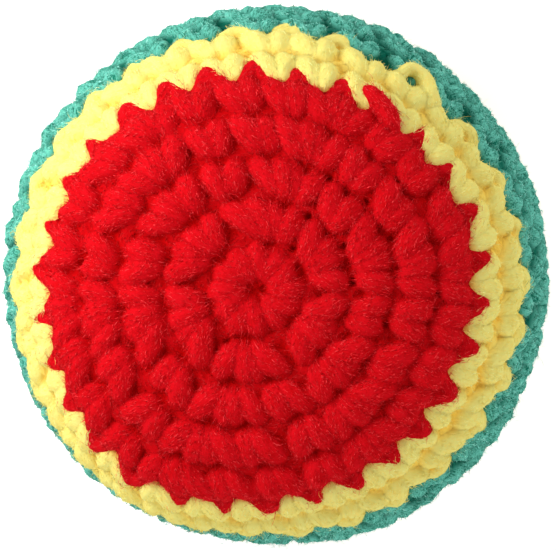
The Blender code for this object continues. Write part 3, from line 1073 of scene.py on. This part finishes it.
def fibre_tree():
    """Scatters loose fibres over the outer side of a yarn, lying mostly along it."""
    sockets = (
        ("Fibre", "Object"), ("Density", "Float"), ("Length", "Float"), ("Lift", "Float"),
        ("Spread", "Float"), ("Deepest", "Float"), ("Seed", "Int"), ("Material", "Material"),
    )
    tree, writer, given = new_geometry_tree("Loose Fibres", sockets)
    normal = writer.out("GeometryNodeInputNormal")
    facing = writer.dot(normal, writer.named("outward", "FLOAT_VECTOR"))
    outer = writer.math("GREATER_THAN", facing, least_facing)
    shallow = writer.math("LESS_THAN", writer.named("depth"), given["Deepest"])
    density = writer.product(given["Density"], outer, shallow)
    scatter = {"Mesh": given["Geometry"], "Density": density, "Seed": given["Seed"]}
    points = writer.node("GeometryNodeDistributePointsOnFaces", scatter)

    way = writer.math("SIGN", writer.chance(-1.0, 1.0, given["Seed"]))
    lying = writer.scaled(writer.named("direction", "FLOAT_VECTOR"), way)
    raised = writer.scaled(points.outputs["Normal"], writer.chance(0.0, given["Lift"], seed=1))
    strayed = writer.scaled(writer.chance_vector((-1, -1, -1), (1, 1, 1), seed=2), given["Spread"])
    aim = writer.vector("ADD", writer.vector("ADD", lying, raised), strayed)
    turned = writer.out("FunctionNodeAlignRotationToVector", {"Vector": aim}, axis="Z")
    spin = {"Axis": (0, 0, 1), "Angle": writer.chance(0.0, TURN, seed=3)}
    rolled = {"Rotation": turned, "Rotate By": writer.out("FunctionNodeAxisAngleToRotation", spin)}
    turned = writer.out("FunctionNodeRotateRotation", rolled, rotation_space="LOCAL")
    size = writer.product(writer.chance(shortest_fibre, longest_fibre, seed=4), given["Length"])
    fibre = writer.node("GeometryNodeObjectInfo", {"Object": given["Fibre"], "As Instance": True})
    placed = {
        "Points": points.outputs["Points"], "Instance": fibre.outputs["Geometry"], "Rotation": turned,
        "Scale": writer.out("ShaderNodeCombineXYZ", {"X": 1.0, "Y": 1.0, "Z": size}),
    }
    end_tree(writer, writer.out("GeometryNodeInstanceOnPoints", placed), given["Material"])
    return tree


def link_object(name, data):
    """A new object of this data in the scene."""
    made = bpy.data.objects.new(name, data)
    bpy.context.scene.collection.objects.link(made)
    return made


def final_mesh(carrier):
    """The plain mesh that an object's modifiers make; the modifiers and the object are removed."""
    graph = bpy.context.evaluated_depsgraph_get()
    made = bpy.data.meshes.new_from_object(carrier.evaluated_get(graph))
    for modifier in list(carrier.modifiers):
        carrier.modifiers.remove(modifier)
    bpy.data.objects.remove(carrier)
    return made


def run_tree(name, mesh, tree, values):
    """The plain mesh that a geometry tree makes from this one with these named inputs."""
    carrier = link_object(name, mesh)
    modifier = carrier.modifiers.new(tree.name, "NODES")
    modifier.node_group = tree
    for socket in tree.interface.items_tree:
        if socket.item_type == "SOCKET" and socket.in_out == "INPUT" and socket.name in values:
            modifier[socket.identifier] = values[socket.name]
    made = final_mesh(carrier)
    made.name = name
    return made


def merged(name, mesh, voxel, smoothings):
    """One closed surface round all that a mesh holds, with its creases softened."""
    carrier = link_object(name, mesh)
    union = carrier.modifiers.new("union", "REMESH")
    union.mode = "VOXEL"
    union.voxel_size = voxel
    soften = carrier.modifiers.new("soften", "SMOOTH")
    soften.iterations = smoothings
    soften.factor = 0.5
    return final_mesh(carrier)


def strand_mesh(name, strands, chance):
    """A mesh of bare lines, one for each strand, that carries what the yarn needs at each point."""
    points = []
    edges = []
    values = {"thickness": [], "depth": [], "lot": []}
    outwards = []
    for strand in strands:
        first = len(points)
        points.extend(strand.places)
        edges.extend((index, index + 1) for index in range(first, len(points) - 1))
        outwards.extend(strand.outwards)
        values["thickness"].extend(strand.thicknesses)
        values["depth"].extend(strand.depths)
        values["lot"].extend([chance.uniform(0, TURN)] * len(strand.places))
    mesh = bpy.data.meshes.new(name)
    mesh.from_pydata(points, edges, [])
    for label, numbers in values.items():
        mesh.attributes.new(label, "FLOAT", "POINT").data.foreach_set("value", numbers)
    flat = [number for outward in outwards for number in outward]
    mesh.attributes.new("outward", "FLOAT_VECTOR", "POINT").data.foreach_set("vector", flat)
    return mesh


def spun(source, name, strands, tree, spin, relief, finish):
    """The yarn or thread of these strands as one mesh."""
    lines = strand_mesh(f"{source}_lines", strands, new_random(source))
    values = {
        "Points": spin.points, "Sides": spin.sides, "Plies": spin.plies, "Ply Relief": relief,
        "Twist": spin.twist, "Material": finish,
    }
    return run_tree(name, lines, tree, values)


def backing_mesh(name, rounds, depth):
    """The inner side of one band as a closed ring under the stitches, its outer face at this depth."""
    start = max(rounds[0].start, backing_eye_radius)
    end = min(rounds[-1].end, meridian_length - backing_eye_radius)
    rows = max(2, math.ceil((end - start) / backing_row_length)) + 1
    arcs = [start + (end - start) * row / (rows - 1) for row in range(rows)]
    line = [(arc, depth) for arc in arcs] + [(arc, backing_inner_depth) for arc in reversed(arcs)]
    mesh = bpy.data.meshes.new(name)
    points = []
    faces = []
    for segment in range(backing_segments):
        angle = TURN * segment / backing_segments
        points.extend(cover_point(arc, angle, under)[0] for arc, under in line)
    for segment in range(backing_segments):
        here = segment * len(line)
        there = (segment + 1) % backing_segments * len(line)
        for row in range(len(line)):
            after = (row + 1) % len(line)
            faces.append((here + row, here + after, there + after, there + row))
    mesh.from_pydata(points, [], faces)
    mesh.shade_smooth()
    return mesh


def liner_mesh(name):
    """The gathered pouch: its line turned round the axis, with folds that run out from the neck."""
    chance = new_random(name)
    phases = [0.0] + [chance.uniform(0, TURN) for _ in FOLDS[1:]]
    line = liner_line()
    points = []
    alongs = []
    along = 0.0
    for row, (radius, height, gather) in enumerate(line):
        if row:
            along += math.dist(line[row - 1][:2], (radius, height))
        before, after = line[max(row - 1, 0)], line[min(row + 1, len(line) - 1)]
        tangent = Vector((after[0] - before[0], after[1] - before[1])).normalized()
        for segment in range(liner_segments):
            angle = TURN * segment / liner_segments
            fold = sum(
                kind.share * math.cos(kind.count * angle + phase + fold_turn * along)
                for kind, phase in zip(FOLDS, phases)
            )
            depth = min(fold_slope * radius, deepest_fold) * gather * fold - fold_draw * gather
            sag = sag_depth * math.sin(sags * angle + sag_step * along) * min(1.0, radius / sag_reach)
            out = radius + (depth + sag) * -tangent.y
            rise = height + (depth + sag) * tangent.x
            points.append((out * math.cos(angle), out * math.sin(angle), rise))
        alongs.append(along)
    step = TURN / liner_segments * bag_radius
    faces = []
    weave = []
    for row in range(len(line) - 1):
        for segment in range(liner_segments):
            after = (segment + 1) % liner_segments
            here, below = row * liner_segments, (row + 1) * liner_segments
            faces.append((here + segment, below + segment, below + after, here + after))
            for column, height in ((0, row), (0, row + 1), (1, row + 1), (1, row)):
                weave.extend(((segment + column) * step, alongs[height], 0.0))
    mesh = bpy.data.meshes.new(name)
    mesh.from_pydata(points, [], faces)
    mesh.attributes.new("weave", "FLOAT_VECTOR", "CORNER").data.foreach_set("vector", weave)
    return mesh


def pellet_mesh(name, width, height):
    """One pellet of moulded plastic: a short cylinder with well rounded ends."""
    points = [(0.0, 0.0, height / 2)]
    for ring in range(1, pellet_rings):
        angle = math.pi * ring / pellet_rings
        radius = width / 2 * math.sin(angle) ** pellet_side_exponent
        rise = height / 2 * math.copysign(abs(math.cos(angle)) ** pellet_end_exponent, math.cos(angle))
        for segment in range(pellet_segments):
            turn = TURN * segment / pellet_segments
            points.append((radius * math.cos(turn), radius * math.sin(turn), rise))
    points.append((0.0, 0.0, -height / 2))
    faces = []
    last = len(points) - 1
    for segment in range(pellet_segments):
        after = (segment + 1) % pellet_segments
        faces.append((0, 1 + segment, 1 + after))
        for ring in range(pellet_rings - 2):
            here, below = 1 + ring * pellet_segments, 1 + (ring + 1) * pellet_segments
            faces.append((here + segment, below + segment, below + after, here + after))
        foot = last - pellet_segments
        faces.append((foot + segment, last, foot + after))
    mesh = bpy.data.meshes.new(name)
    mesh.from_pydata(points, [], faces)
    mesh.shade_smooth()
    return mesh


def pellet_tree():
    """Sets a pellet on every point, each a little turned, tilted and smaller or larger."""
    sockets = (
        ("Pellet", "Object"), ("Tilt", "Float"), ("Smallest", "Float"), ("Seed", "Int"),
        ("Material", "Material"),
    )
    tree, writer, given = new_geometry_tree("Pellets", sockets)
    seed = given["Seed"]
    spin = writer.out("ShaderNodeCombineXYZ", {"Z": writer.chance(0.0, TURN, seed)})
    lean = writer.scaled(writer.chance_vector((-1, -1, 0), (1, 1, 0), seed), given["Tilt"])
    size = writer.chance(given["Smallest"], 1.0, seed)
    pellet = writer.node("GeometryNodeObjectInfo", {"Object": given["Pellet"], "As Instance": True})
    placed = {
        "Points": writer.out("GeometryNodeMeshToPoints", {"Mesh": given["Geometry"]}),
        "Instance": pellet.outputs["Geometry"], "Rotation": writer.vector("ADD", lean, spin),
        "Scale": writer.out("ShaderNodeCombineXYZ", {"X": size, "Y": size, "Z": size}),
    }
    end_tree(writer, writer.out("GeometryNodeInstanceOnPoints", placed), given["Material"])
    return tree


def crest_mesh(name):
    """The smooth surface through the crests of all stitches."""
    rows = crest_rows
    arcs = [meridian_length * (row + 0.5) / rows for row in range(rows)]
    points = []
    faces = []
    for segment in range(backing_segments):
        angle = TURN * segment / backing_segments
        points.extend(cover_point(arc, angle, 0.0)[0] for arc in arcs)
        here = segment * rows
        there = (segment + 1) % backing_segments * rows
        faces.extend((here + row, here + row + 1, there + row + 1, there + row) for row in range(rows - 1))
    poles = (list(range(0, len(points), rows)), list(range(rows - 1, len(points), rows))[::-1])
    mesh = bpy.data.meshes.new(name)
    mesh.from_pydata(points, [], faces + list(poles))
    return mesh


def pit_mesh(name):
    """The places of the open holes between stitches, as bare points."""
    places = [cover_point(pit.arc, math.radians(pit.bearing), pit_point_depth)[0] for pit in PITS]
    mesh = bpy.data.meshes.new(name)
    mesh.from_pydata(places, [], [])
    return mesh


def fibre_mesh(diameter, bend, joints):
    """One loose fibre of unit length along Z: a three-sided spike, bent aside where it has joints."""
    corners = 3
    points = []
    faces = [(2, 1, 0)]
    for joint in range(joints + 1):
        height = joint / (joints + 1)
        for corner in range(corners):
            turn = TURN * corner / corners
            x = diameter / 2 * math.cos(turn) + bend * math.sin(math.pi * height)
            points.append((x, diameter / 2 * math.sin(turn), height))
    tip = len(points)
    points.append((0.0, 0.0, 1.0))
    for joint in range(joints + 1):
        for corner in range(corners):
            low = corners * joint + corner
            low_after = corners * joint + (corner + 1) % corners
            if joint < joints:
                faces.append((low, low_after, low_after + corners, low + corners))
            else:
                faces.append((low, low_after, tip))
    mesh = bpy.data.meshes.new("fibre")
    mesh.from_pydata(points, [], faces)
    return mesh


def new_material(name):
    """A material with a Principled shader, the shader and a writer for its tree."""
    material = bpy.data.materials.new(name)
    material.use_nodes = True
    shader = material.node_tree.nodes["Principled BSDF"]
    return material, shader, NodeWriter(material.node_tree)


def mixed_colour(writer, share, first, second):
    """The colour between these two at this share; either may be a socket."""
    first, second = (
        colour if isinstance(colour, bpy.types.NodeSocket) else (*colour, 1) for colour in (first, second)
    )
    return writer.node("ShaderNodeMix", {0: share, 6: first, 7: second}, data_type="RGBA").outputs[2]


def painted_shade_share(writer, wool):
    """How far a point of the yarn lies in the hollows between the stitches, from 0 to 1: the share of shade
    painted there.
    """
    depth = writer.node("ShaderNodeAttribute", attribute_name="depth").outputs["Fac"]
    return writer.ranged(depth, wool.shallow, wool.deep, interpolation_type="SMOOTHSTEP")


def yarn_material(name, colour, painted_shade_colour, wool):
    """Fluffy acrylic yarn: fine streaks along its fibres, mottled, and shade painted in the hollows as a deeper
    colour.
    """
    material, shader, writer = new_material(name)
    point = writer.node("ShaderNodeAttribute", attribute_name="fibre_point").outputs["Vector"]
    place = writer.node("ShaderNodeTexCoord").outputs["Object"]
    stretched = writer.vector("MULTIPLY", point, (1.0, 1.0, yarn_streak_stretch))
    streaks = writer.noise(stretched, yarn_streaks, detail=3.0, Roughness=0.65)
    streaked = writer.blended(streak_share, streaks, writer.noise(point, yarn_tufts, detail=2.0))
    mottled = writer.blended(strand_share, streaked, writer.noise(place, yarn_specks, detail=1.0))
    mottling = writer.ranged(mottled, low=0.41, high=0.55, first=wool.mottling, last=0.0)
    # Painted shade: the yarn turns to its shade colour deep between the stitches, and at random where it is
    # mottled
    sunk = writer.math("MAXIMUM", painted_shade_share(writer, wool), mottling)
    bump = {"Strength": 0.8, "Distance": yarn_bump, "Height": streaked}
    writer.feed(shader, {
        "Base Color": mixed_colour(writer, sunk, colour, painted_shade_colour),
        "Normal": writer.out("ShaderNodeBump", bump),
        "Roughness": 0.95, "Specular IOR Level": 0.05, "Sheen Weight": 0.12, "Sheen Roughness": 0.4,
        "Sheen Tint": (*(sheen_floor + (1 - sheen_floor) * channel for channel in colour), 1),
    })
    return material


def fibre_material(name, colour, painted_shade_colour, wool):
    """Loose fibres, some deeper and some paler than the yarn, the palest painted as glints, and shade painted
    on them in the hollows.
    """
    material, shader, writer = new_material(name)
    noise = writer.noise(writer.node("ShaderNodeTexCoord").outputs["Object"], fibre_specks, detail=1.0)
    shine = writer.ranged(noise, low=0.50, high=0.60)
    shade = writer.ranged(noise, low=0.38, high=0.47, first=wool.mottling, last=0.0)
    # Painted glints: the palest fibres, scattered at random, are paler by the glint in every channel
    pale = tuple(min(1.0, fibre_paling * channel + wool.glint) for channel in colour)
    # Painted shade: the fibres turn to the shade colour deep between the stitches, and at random where they are
    # darker
    sunk = writer.math("MAXIMUM", painted_shade_share(writer, wool), shade)
    painted = mixed_colour(writer, sunk, mixed_colour(writer, shine, colour, pale), painted_shade_colour)
    writer.feed(shader, {"Base Color": painted, "Roughness": 0.6, "Specular IOR Level": 0.1})
    return material


def yarn_finishes(colours, key):
    """The finishes of one colour's yarn and of its loose fibres, made when they are first asked for."""
    names = (f"{key}_wool", f"{key}_fibres")
    if names[0] not in bpy.data.materials:
        # Each yarn's colour and the shade painted into its hollows
        pair = (tuple(getattr(colours, key)), tuple(getattr(colours, f"{key}_depth")))
        yarn_material(names[0], *pair, WOOLS[key])
        fibre_material(names[1], *pair, WOOLS[key])
    return tuple(bpy.data.materials[name] for name in names)


def cloth_material(name, colour):
    """Plain-woven cotton: threads over and under each other, with slubs and a little unevenness of shade."""
    material, shader, writer = new_material(name)
    weave = writer.node("ShaderNodeAttribute", attribute_name="weave").outputs["Vector"]
    axes = writer.node("ShaderNodeSeparateXYZ", {"Vector": weave}).outputs
    warp, weft = (
        writer.math("SINE", writer.product(axes[axis], cloth_threads * math.pi)) for axis in (0, 1)
    )
    slubs = writer.vector("MULTIPLY", weave, (1.0, cloth_slub_stretch, 1.0))
    slubs = writer.noise(slubs, cloth_slubs, detail=2.0)
    height = writer.math("ADD", writer.product(warp, weft, crossing_share), slubs)
    dark = tuple(cloth_shade * channel for channel in colour)
    woven = mixed_colour(writer, writer.ranged(height, low=0.1, high=0.75), dark, colour)
    clouds = writer.noise(weave, cloth_clouds, detail=3.0)
    bump = {"Strength": 0.7, "Distance": cloth_bump, "Height": height}
    writer.feed(shader, {
        "Base Color": writer.scaled(woven, writer.ranged(clouds, low=0.3, high=0.7, first=0.9, last=1.04)),
        "Normal": writer.out("ShaderNodeBump", bump), "Roughness": 0.88, "Sheen Weight": 0.15,
    })
    return material


def thread_material(name, colour):
    """Smooth cotton thread with fine streaks along its plies."""
    material, shader, writer = new_material(name)
    point = writer.node("ShaderNodeAttribute", attribute_name="fibre_point").outputs["Vector"]
    stretched = writer.vector("MULTIPLY", point, (1.0, 1.0, thread_streak_stretch))
    streaks = writer.noise(stretched, thread_streaks, detail=2.0)
    dark = tuple(thread_shade * channel for channel in colour)
    bump = {"Strength": 0.6, "Distance": thread_bump, "Height": streaks}
    writer.feed(shader, {
        "Base Color": mixed_colour(writer, writer.ranged(streaks, low=0.35, high=0.6), dark, colour),
        "Normal": writer.out("ShaderNodeBump", bump), "Roughness": 0.75,
    })
    return material


def pellet_material(name, colour):
    """Milky polypropylene, each pellet a little different, with a fine moulded grain."""
    material, shader, writer = new_material(name)
    place = writer.node("ShaderNodeTexCoord").outputs["Object"]
    share = writer.ranged(writer.noise(place, pellet_clouds, detail=1.0), low=0.35, high=0.65)
    dull = tuple(shade * channel for shade, channel in zip(PELLET_SHADES, colour))
    grain = writer.noise(place, pellet_grain, detail=2.0)
    bump = {"Strength": 0.25, "Distance": pellet_bump, "Height": grain}
    writer.feed(shader, {
        "Base Color": mixed_colour(writer, share, dull, colour),
        "Normal": writer.out("ShaderNodeBump", bump), "Roughness": 0.38,
        "Subsurface Weight": 0.2, "Subsurface Scale": pellet_glow_depth,
    })
    return material


def add_piece(mesh):
    """A piece of this mesh on the bag's body; the mesh already carries its finish."""
    piece = link_object(mesh.name, mesh)
    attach(piece, "root")
    return piece


def joined(meshes, name):
    """One mesh that holds all of these."""
    whole = bmesh.new()
    for mesh in meshes:
        whole.from_mesh(mesh)
    result = bpy.data.meshes.new(name)
    whole.to_mesh(result)
    whole.free()
    return result


def clear_helpers(helpers):
    """Removes the objects that only helped to make a piece."""
    for helper in helpers:
        bpy.data.objects.remove(helper)


class FOOTBAG_OT_cover(bpy.types.Operator):
    """Makes the crocheted cover: the yarn of each band and the loose fibres on it"""

    bl_idname = "footbag.cover"
    bl_label = "Make Cover"

    def execute(self, context):
        self.settings = context.scene.footbag_yarn
        colours = context.scene.footbag_colours
        bands = work_bands()
        cover = work_cover(bands, self.settings)
        self.trees = {"sweep": yarn_tree(), "fluff": fluff_tree(), "scatter": fibre_tree()}
        diameter = self.settings.fibre_diameter
        bend = stray_bend * self.settings.stray_length
        self.down = link_object("down", fibre_mesh(diameter, 0.0, 0))
        self.stray = link_object("stray", fibre_mesh(stray_thickness * diameter, bend, stray_joints))
        self.crest = link_object("crest", crest_mesh("crest"))
        self.pits = link_object("pits", pit_mesh("pits"))
        for band in bands:
            yarn_finish, fibre_finish = yarn_finishes(colours, band.colour)
            yarn = self.make_yarn(band, cover[band.name], yarn_finish)
            self.make_fibres(band, yarn, fibre_finish)
        clear_helpers([self.down, self.stray, self.crest, self.pits])
        return {"FINISHED"}

    def make_yarn(self, band, strands, yarn_finish):
        """One band's stitches and its backing, merged into one surface of fluffy yarn."""
        settings = self.settings
        wool = WOOLS[band.colour]
        relief = wool.relief * settings.ply_relief
        swept = spun(
            band.name, f"{band.name}_strands", strands, self.trees["sweep"], STITCH_SPIN, relief, yarn_finish,
        )
        backing = backing_mesh(f"{band.name}_backing", band.rounds, wool.backing)
        solid = joined([swept, backing], f"{band.name}_solid")
        voxel = settings.coarse_voxel
        if band.rounds[0].start < fine_reach:
            voxel = settings.voxel
        elif band.colour == "green":
            voxel = settings.belt_voxel
        smoothings = round(wool.creases * settings.crease_softness)
        whole = merged(f"{band.name}_whole", solid, voxel, smoothings)
        source = link_object(f"{band.name}_source", swept)
        values = {
            "Strands": source, "Crest": self.crest, "Pits": self.pits,
            "Pit Width": settings.pit_width, "Pit Depth": settings.pit_depth,
            "Lump Height": wool.relief ** 0.5 * settings.lump_height, "Lump Size": lump_size,
            "Material": yarn_finish,
        }
        yarn = run_tree(f"{band.name}_yarn", whole, self.trees["fluff"], values)
        bpy.data.objects.remove(source)
        piece = add_piece(yarn)
        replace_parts(piece, band.name)
        return yarn

    def make_fibres(self, band, yarn, fibre_finish):
        """The short down, the longer fuzz and the few stray fibres on one band's yarn."""
        settings = self.settings
        wool = WOOLS[band.colour]
        kinds = (
            ("down", self.down, settings.down, settings.down_length),
            ("fuzz", self.down, settings.fuzz, settings.fuzz_length),
            ("strays", self.stray, settings.strays, settings.stray_length),
        )
        for kind, fibre, count, length in kinds:
            loose = LOOSENESS[kind]
            values = {
                "Fibre": fibre, "Density": wool.hair_count * count / SQUARE_CM,
                "Length": wool.hair_length * length, "Lift": wool.hair_lift * loose.lift,
                "Spread": loose.spread, "Deepest": deepest_fibre, "Seed": settings.seed,
                "Material": fibre_finish,
            }
            fibres = run_tree(f"{band.name}_{kind}", yarn.copy(), self.trees["scatter"], values)
            add_piece(fibres)


class FOOTBAG_OT_tails(bpy.types.Operator):
    """Makes the yarns' tails inside the cover, with the knots at the changes of colour"""

    bl_idname = "footbag.tails"
    bl_label = "Make Tails"

    def execute(self, context):
        settings = context.scene.footbag_yarn
        tree, scatter = yarn_tree(), fibre_tree()
        fibre = link_object("tail_fibre", fibre_mesh(settings.fibre_diameter, 0.0, 0))
        for name, colour, strands in all_tails(work_bands()):
            yarn_finish, fibre_finish = yarn_finishes(context.scene.footbag_colours, colour)
            yarn = spun(name, f"{name}_yarn", strands, tree, TAIL_SPIN, tail_relief, yarn_finish)
            values = {
                "Fibre": fibre, "Density": tail_down_density, "Length": tail_down_length,
                "Lift": TAIL_LOOSENESS.lift, "Spread": TAIL_LOOSENESS.spread, "Deepest": deepest_fibre,
                "Seed": settings.seed, "Material": fibre_finish,
            }
            fibres = run_tree(f"{name}_down", yarn.copy(), scatter, values)
            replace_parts(add_piece(yarn), name)
            add_piece(fibres)
        clear_helpers([fibre])
        return {"FINISHED"}


class FOOTBAG_OT_liner(bpy.types.Operator):
    """Makes the gathered cloth liner"""

    bl_idname = "footbag.liner"
    bl_label = "Make Liner"

    def execute(self, context):
        mesh = liner_mesh("liner_cloth")
        mesh.materials.append(cloth_material("liner_cloth", tuple(context.scene.footbag_colours.cloth)))
        carrier = link_object("liner_cloth", mesh)
        close = carrier.modifiers.new("close", "WELD")
        close.merge_threshold = weld_distance
        cloth = carrier.modifiers.new("cloth", "SOLIDIFY")
        cloth.thickness = liner_thickness
        cloth.offset = -1
        made = final_mesh(carrier)
        made.name = "liner_cloth_pouch"
        made.shade_smooth()
        piece = add_piece(made)
        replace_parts(piece, "liner_pouch")
        return {"FINISHED"}


class FOOTBAG_OT_tie(bpy.types.Operator):
    """Makes the thread that ties the liner's neck"""

    bl_idname = "footbag.tie"
    bl_label = "Make Tie"

    def execute(self, context):
        finish = thread_material("tie_thread", tuple(context.scene.footbag_colours.thread))
        thread = spun("tie", "tie_thread", tie_strands(), yarn_tree(), TIE_SPIN, tie_relief, finish)
        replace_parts(add_piece(thread), "liner_tie")
        return {"FINISHED"}


class FOOTBAG_OT_pellets(bpy.types.Operator):
    """Makes the loose plastic pellets, layer by layer"""

    bl_idname = "footbag.pellets"
    bl_label = "Make Pellets"

    def execute(self, context):
        finish = pellet_material("pellets", tuple(context.scene.footbag_colours.pellet))
        tree = pellet_tree()
        for number in range(1, pellet_layers + 1):
            node = f"pellet_layer_{number}"
            low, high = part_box(node)
            tips = {
                (round(corner.co.x / MM, 2), round(corner.co.y / MM, 2))
                for corner in bpy.data.objects[node].data.vertices
                if corner.co.z > high.z - pellet_tip
            }
            centres = bpy.data.meshes.new(f"{node}_centres")
            middle = (low.z + high.z) / 2
            centres.from_pydata([(x * MM, y * MM, middle) for x, y in sorted(tips)], [], [])
            pellet = link_object("pellet", pellet_mesh("pellet", pellet_width, high.z - low.z))
            values = {
                "Pellet": pellet, "Tilt": pellet_tilt, "Smallest": smallest_pellet, "Seed": number,
                "Material": finish,
            }
            pellets = run_tree(f"{node}_pellets", centres, tree, values)
            clear_helpers([pellet])
            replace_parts(add_piece(pellets), node)
        return {"FINISHED"}


def seen_directly(writer):
    """1 where the camera sees a surface itself, or in or through another one, and otherwise 0."""
    path = writer.node("ShaderNodeLightPath")
    seen = writer.math("MAXIMUM", path.outputs["Is Camera Ray"], path.outputs["Is Glossy Ray"])
    return writer.math("MAXIMUM", seen, path.outputs["Is Transmission Ray"])


class FOOTBAG_OT_stage(bpy.types.Operator):
    """Makes the camera, the lamps and the pale floor"""

    bl_idname = "footbag.stage"
    bl_label = "Make Stage"

    def execute(self, context):
        settings = context.scene.footbag_stage
        self.make_camera(context.scene, settings)
        self.make_lamps(context.scene, settings)
        self.make_floor()
        context.scene.view_settings.view_transform = "Standard"
        return {"FINISHED"}

    def make_camera(self, scene, settings):
        """A long lens that looks almost straight down on the crown."""
        back = Vector((
            math.sin(settings.tilt) * math.cos(settings.bearing),
            math.sin(settings.tilt) * math.sin(settings.bearing),
            math.cos(settings.tilt),
        ))
        up = (Vector((0, 1, 0)) - back * back.y).normalized()
        right = up.cross(back)
        camera = bpy.data.cameras.new("camera")
        camera.sensor_width = 36
        camera.lens = camera.sensor_width * settings.distance / settings.view_width
        camera.clip_end = camera_reach
        placed = link_object("camera", camera)
        target = Vector((0, 0, middle_height)) + aim_right * right + aim_up * up
        axes = Matrix((right, up, back)).transposed().to_4x4()
        placed.matrix_world = Matrix.Translation(target + back * settings.distance) @ axes
        scene.camera = placed

    def make_lamps(self, scene, settings):
        """A near lamp at the upper left, a wide one opposite, a low wide one, and even light all round."""
        for plan in LAMPS:
            lamp = bpy.data.lights.new(plan.name, "AREA")
            lamp.shape = "SQUARE"
            lamp.size = plan.size
            strength = getattr(settings, f"{plan.name}_strength")
            lamp.energy = strength * math.pi ** 2 * plan.distance ** 2
            way = Vector(plan.way)
            placed = link_object(plan.name, lamp)
            placed.location = way.normalized() * plan.distance + Vector((0, 0, middle_height))
            placed.rotation_euler = way.to_track_quat("Z", "Y").to_euler()
        world = bpy.data.worlds.new("studio")
        world.use_nodes = True
        writer = NodeWriter(world.node_tree)
        strength = writer.math("MAXIMUM", seen_directly(writer), settings.sky_strength)
        background = world.node_tree.nodes["Background"]
        writer.feed(background, {"Color": (1, 1, 1, 1), "Strength": strength})
        scene.world = world

    def make_floor(self):
        """A wide white floor just under the bag, white to the camera but for the bag's shadow."""
        material, shader, writer = new_material("floor")
        writer.feed(shader, {
            "Base Color": (floor_grey, floor_grey, floor_grey, 1), "Roughness": 0.9,
            "Emission Strength": writer.product(seen_directly(writer), floor_glow),
            "Emission Color": (1, 1, 1, 1),
        })
        ways = ((-1, -1), (1, -1), (1, 1), (-1, 1))
        corners = [(x * floor_reach, y * floor_reach, -floor_gap) for x, y in ways]
        mesh = bpy.data.meshes.new("floor")
        mesh.from_pydata(corners, [], [(0, 1, 2, 3)])
        mesh.materials.append(material)
        link_object("floor", mesh)


class FOOTBAG_PT_panel(bpy.types.Panel):
    """Lists the footbag's settings and the steps that make it"""

    bl_idname = "FOOTBAG_PT_panel"
    bl_label = "Crocheted Footbag"
    bl_space_type = "VIEW_3D"
    bl_region_type = "UI"
    bl_category = "Footbag"

    def draw(self, context):
        for group in (context.scene.footbag_yarn, context.scene.footbag_colours, context.scene.footbag_stage):
            box = self.layout.box()
            for name in group.bl_rna.properties.keys():
                if name not in ("rna_type", "name"):
                    box.prop(group, name)
        for step in STEPS:
            self.layout.operator(step.bl_idname)


STEPS = (
    FOOTBAG_OT_stage, FOOTBAG_OT_cover, FOOTBAG_OT_tails,
    FOOTBAG_OT_liner, FOOTBAG_OT_tie, FOOTBAG_OT_pellets,
)
CLASSES = (FootbagYarnSettings, FootbagColourSettings, FootbagStageSettings, *STEPS, FOOTBAG_PT_panel)


def register():
    """Registers the classes and gives the scene its settings."""
    for each in CLASSES:
        bpy.utils.register_class(each)
    bpy.types.Scene.footbag_yarn = PointerProperty(type=FootbagYarnSettings)
    bpy.types.Scene.footbag_colours = PointerProperty(type=FootbagColourSettings)
    bpy.types.Scene.footbag_stage = PointerProperty(type=FootbagStageSettings)


def unregister():
    """Takes the settings and the classes away again."""
    del bpy.types.Scene.footbag_stage
    del bpy.types.Scene.footbag_colours
    del bpy.types.Scene.footbag_yarn
    for each in reversed(CLASSES):
        bpy.utils.unregister_class(each)


def main():
    """Makes the stage and the bag's pieces."""
    register()
    bpy.ops.footbag.stage()
    bpy.ops.footbag.cover()
    bpy.ops.footbag.tails()
    bpy.ops.footbag.liner()
    bpy.ops.footbag.tie()
    bpy.ops.footbag.pellets()


if __name__ == "__main__":
    main()
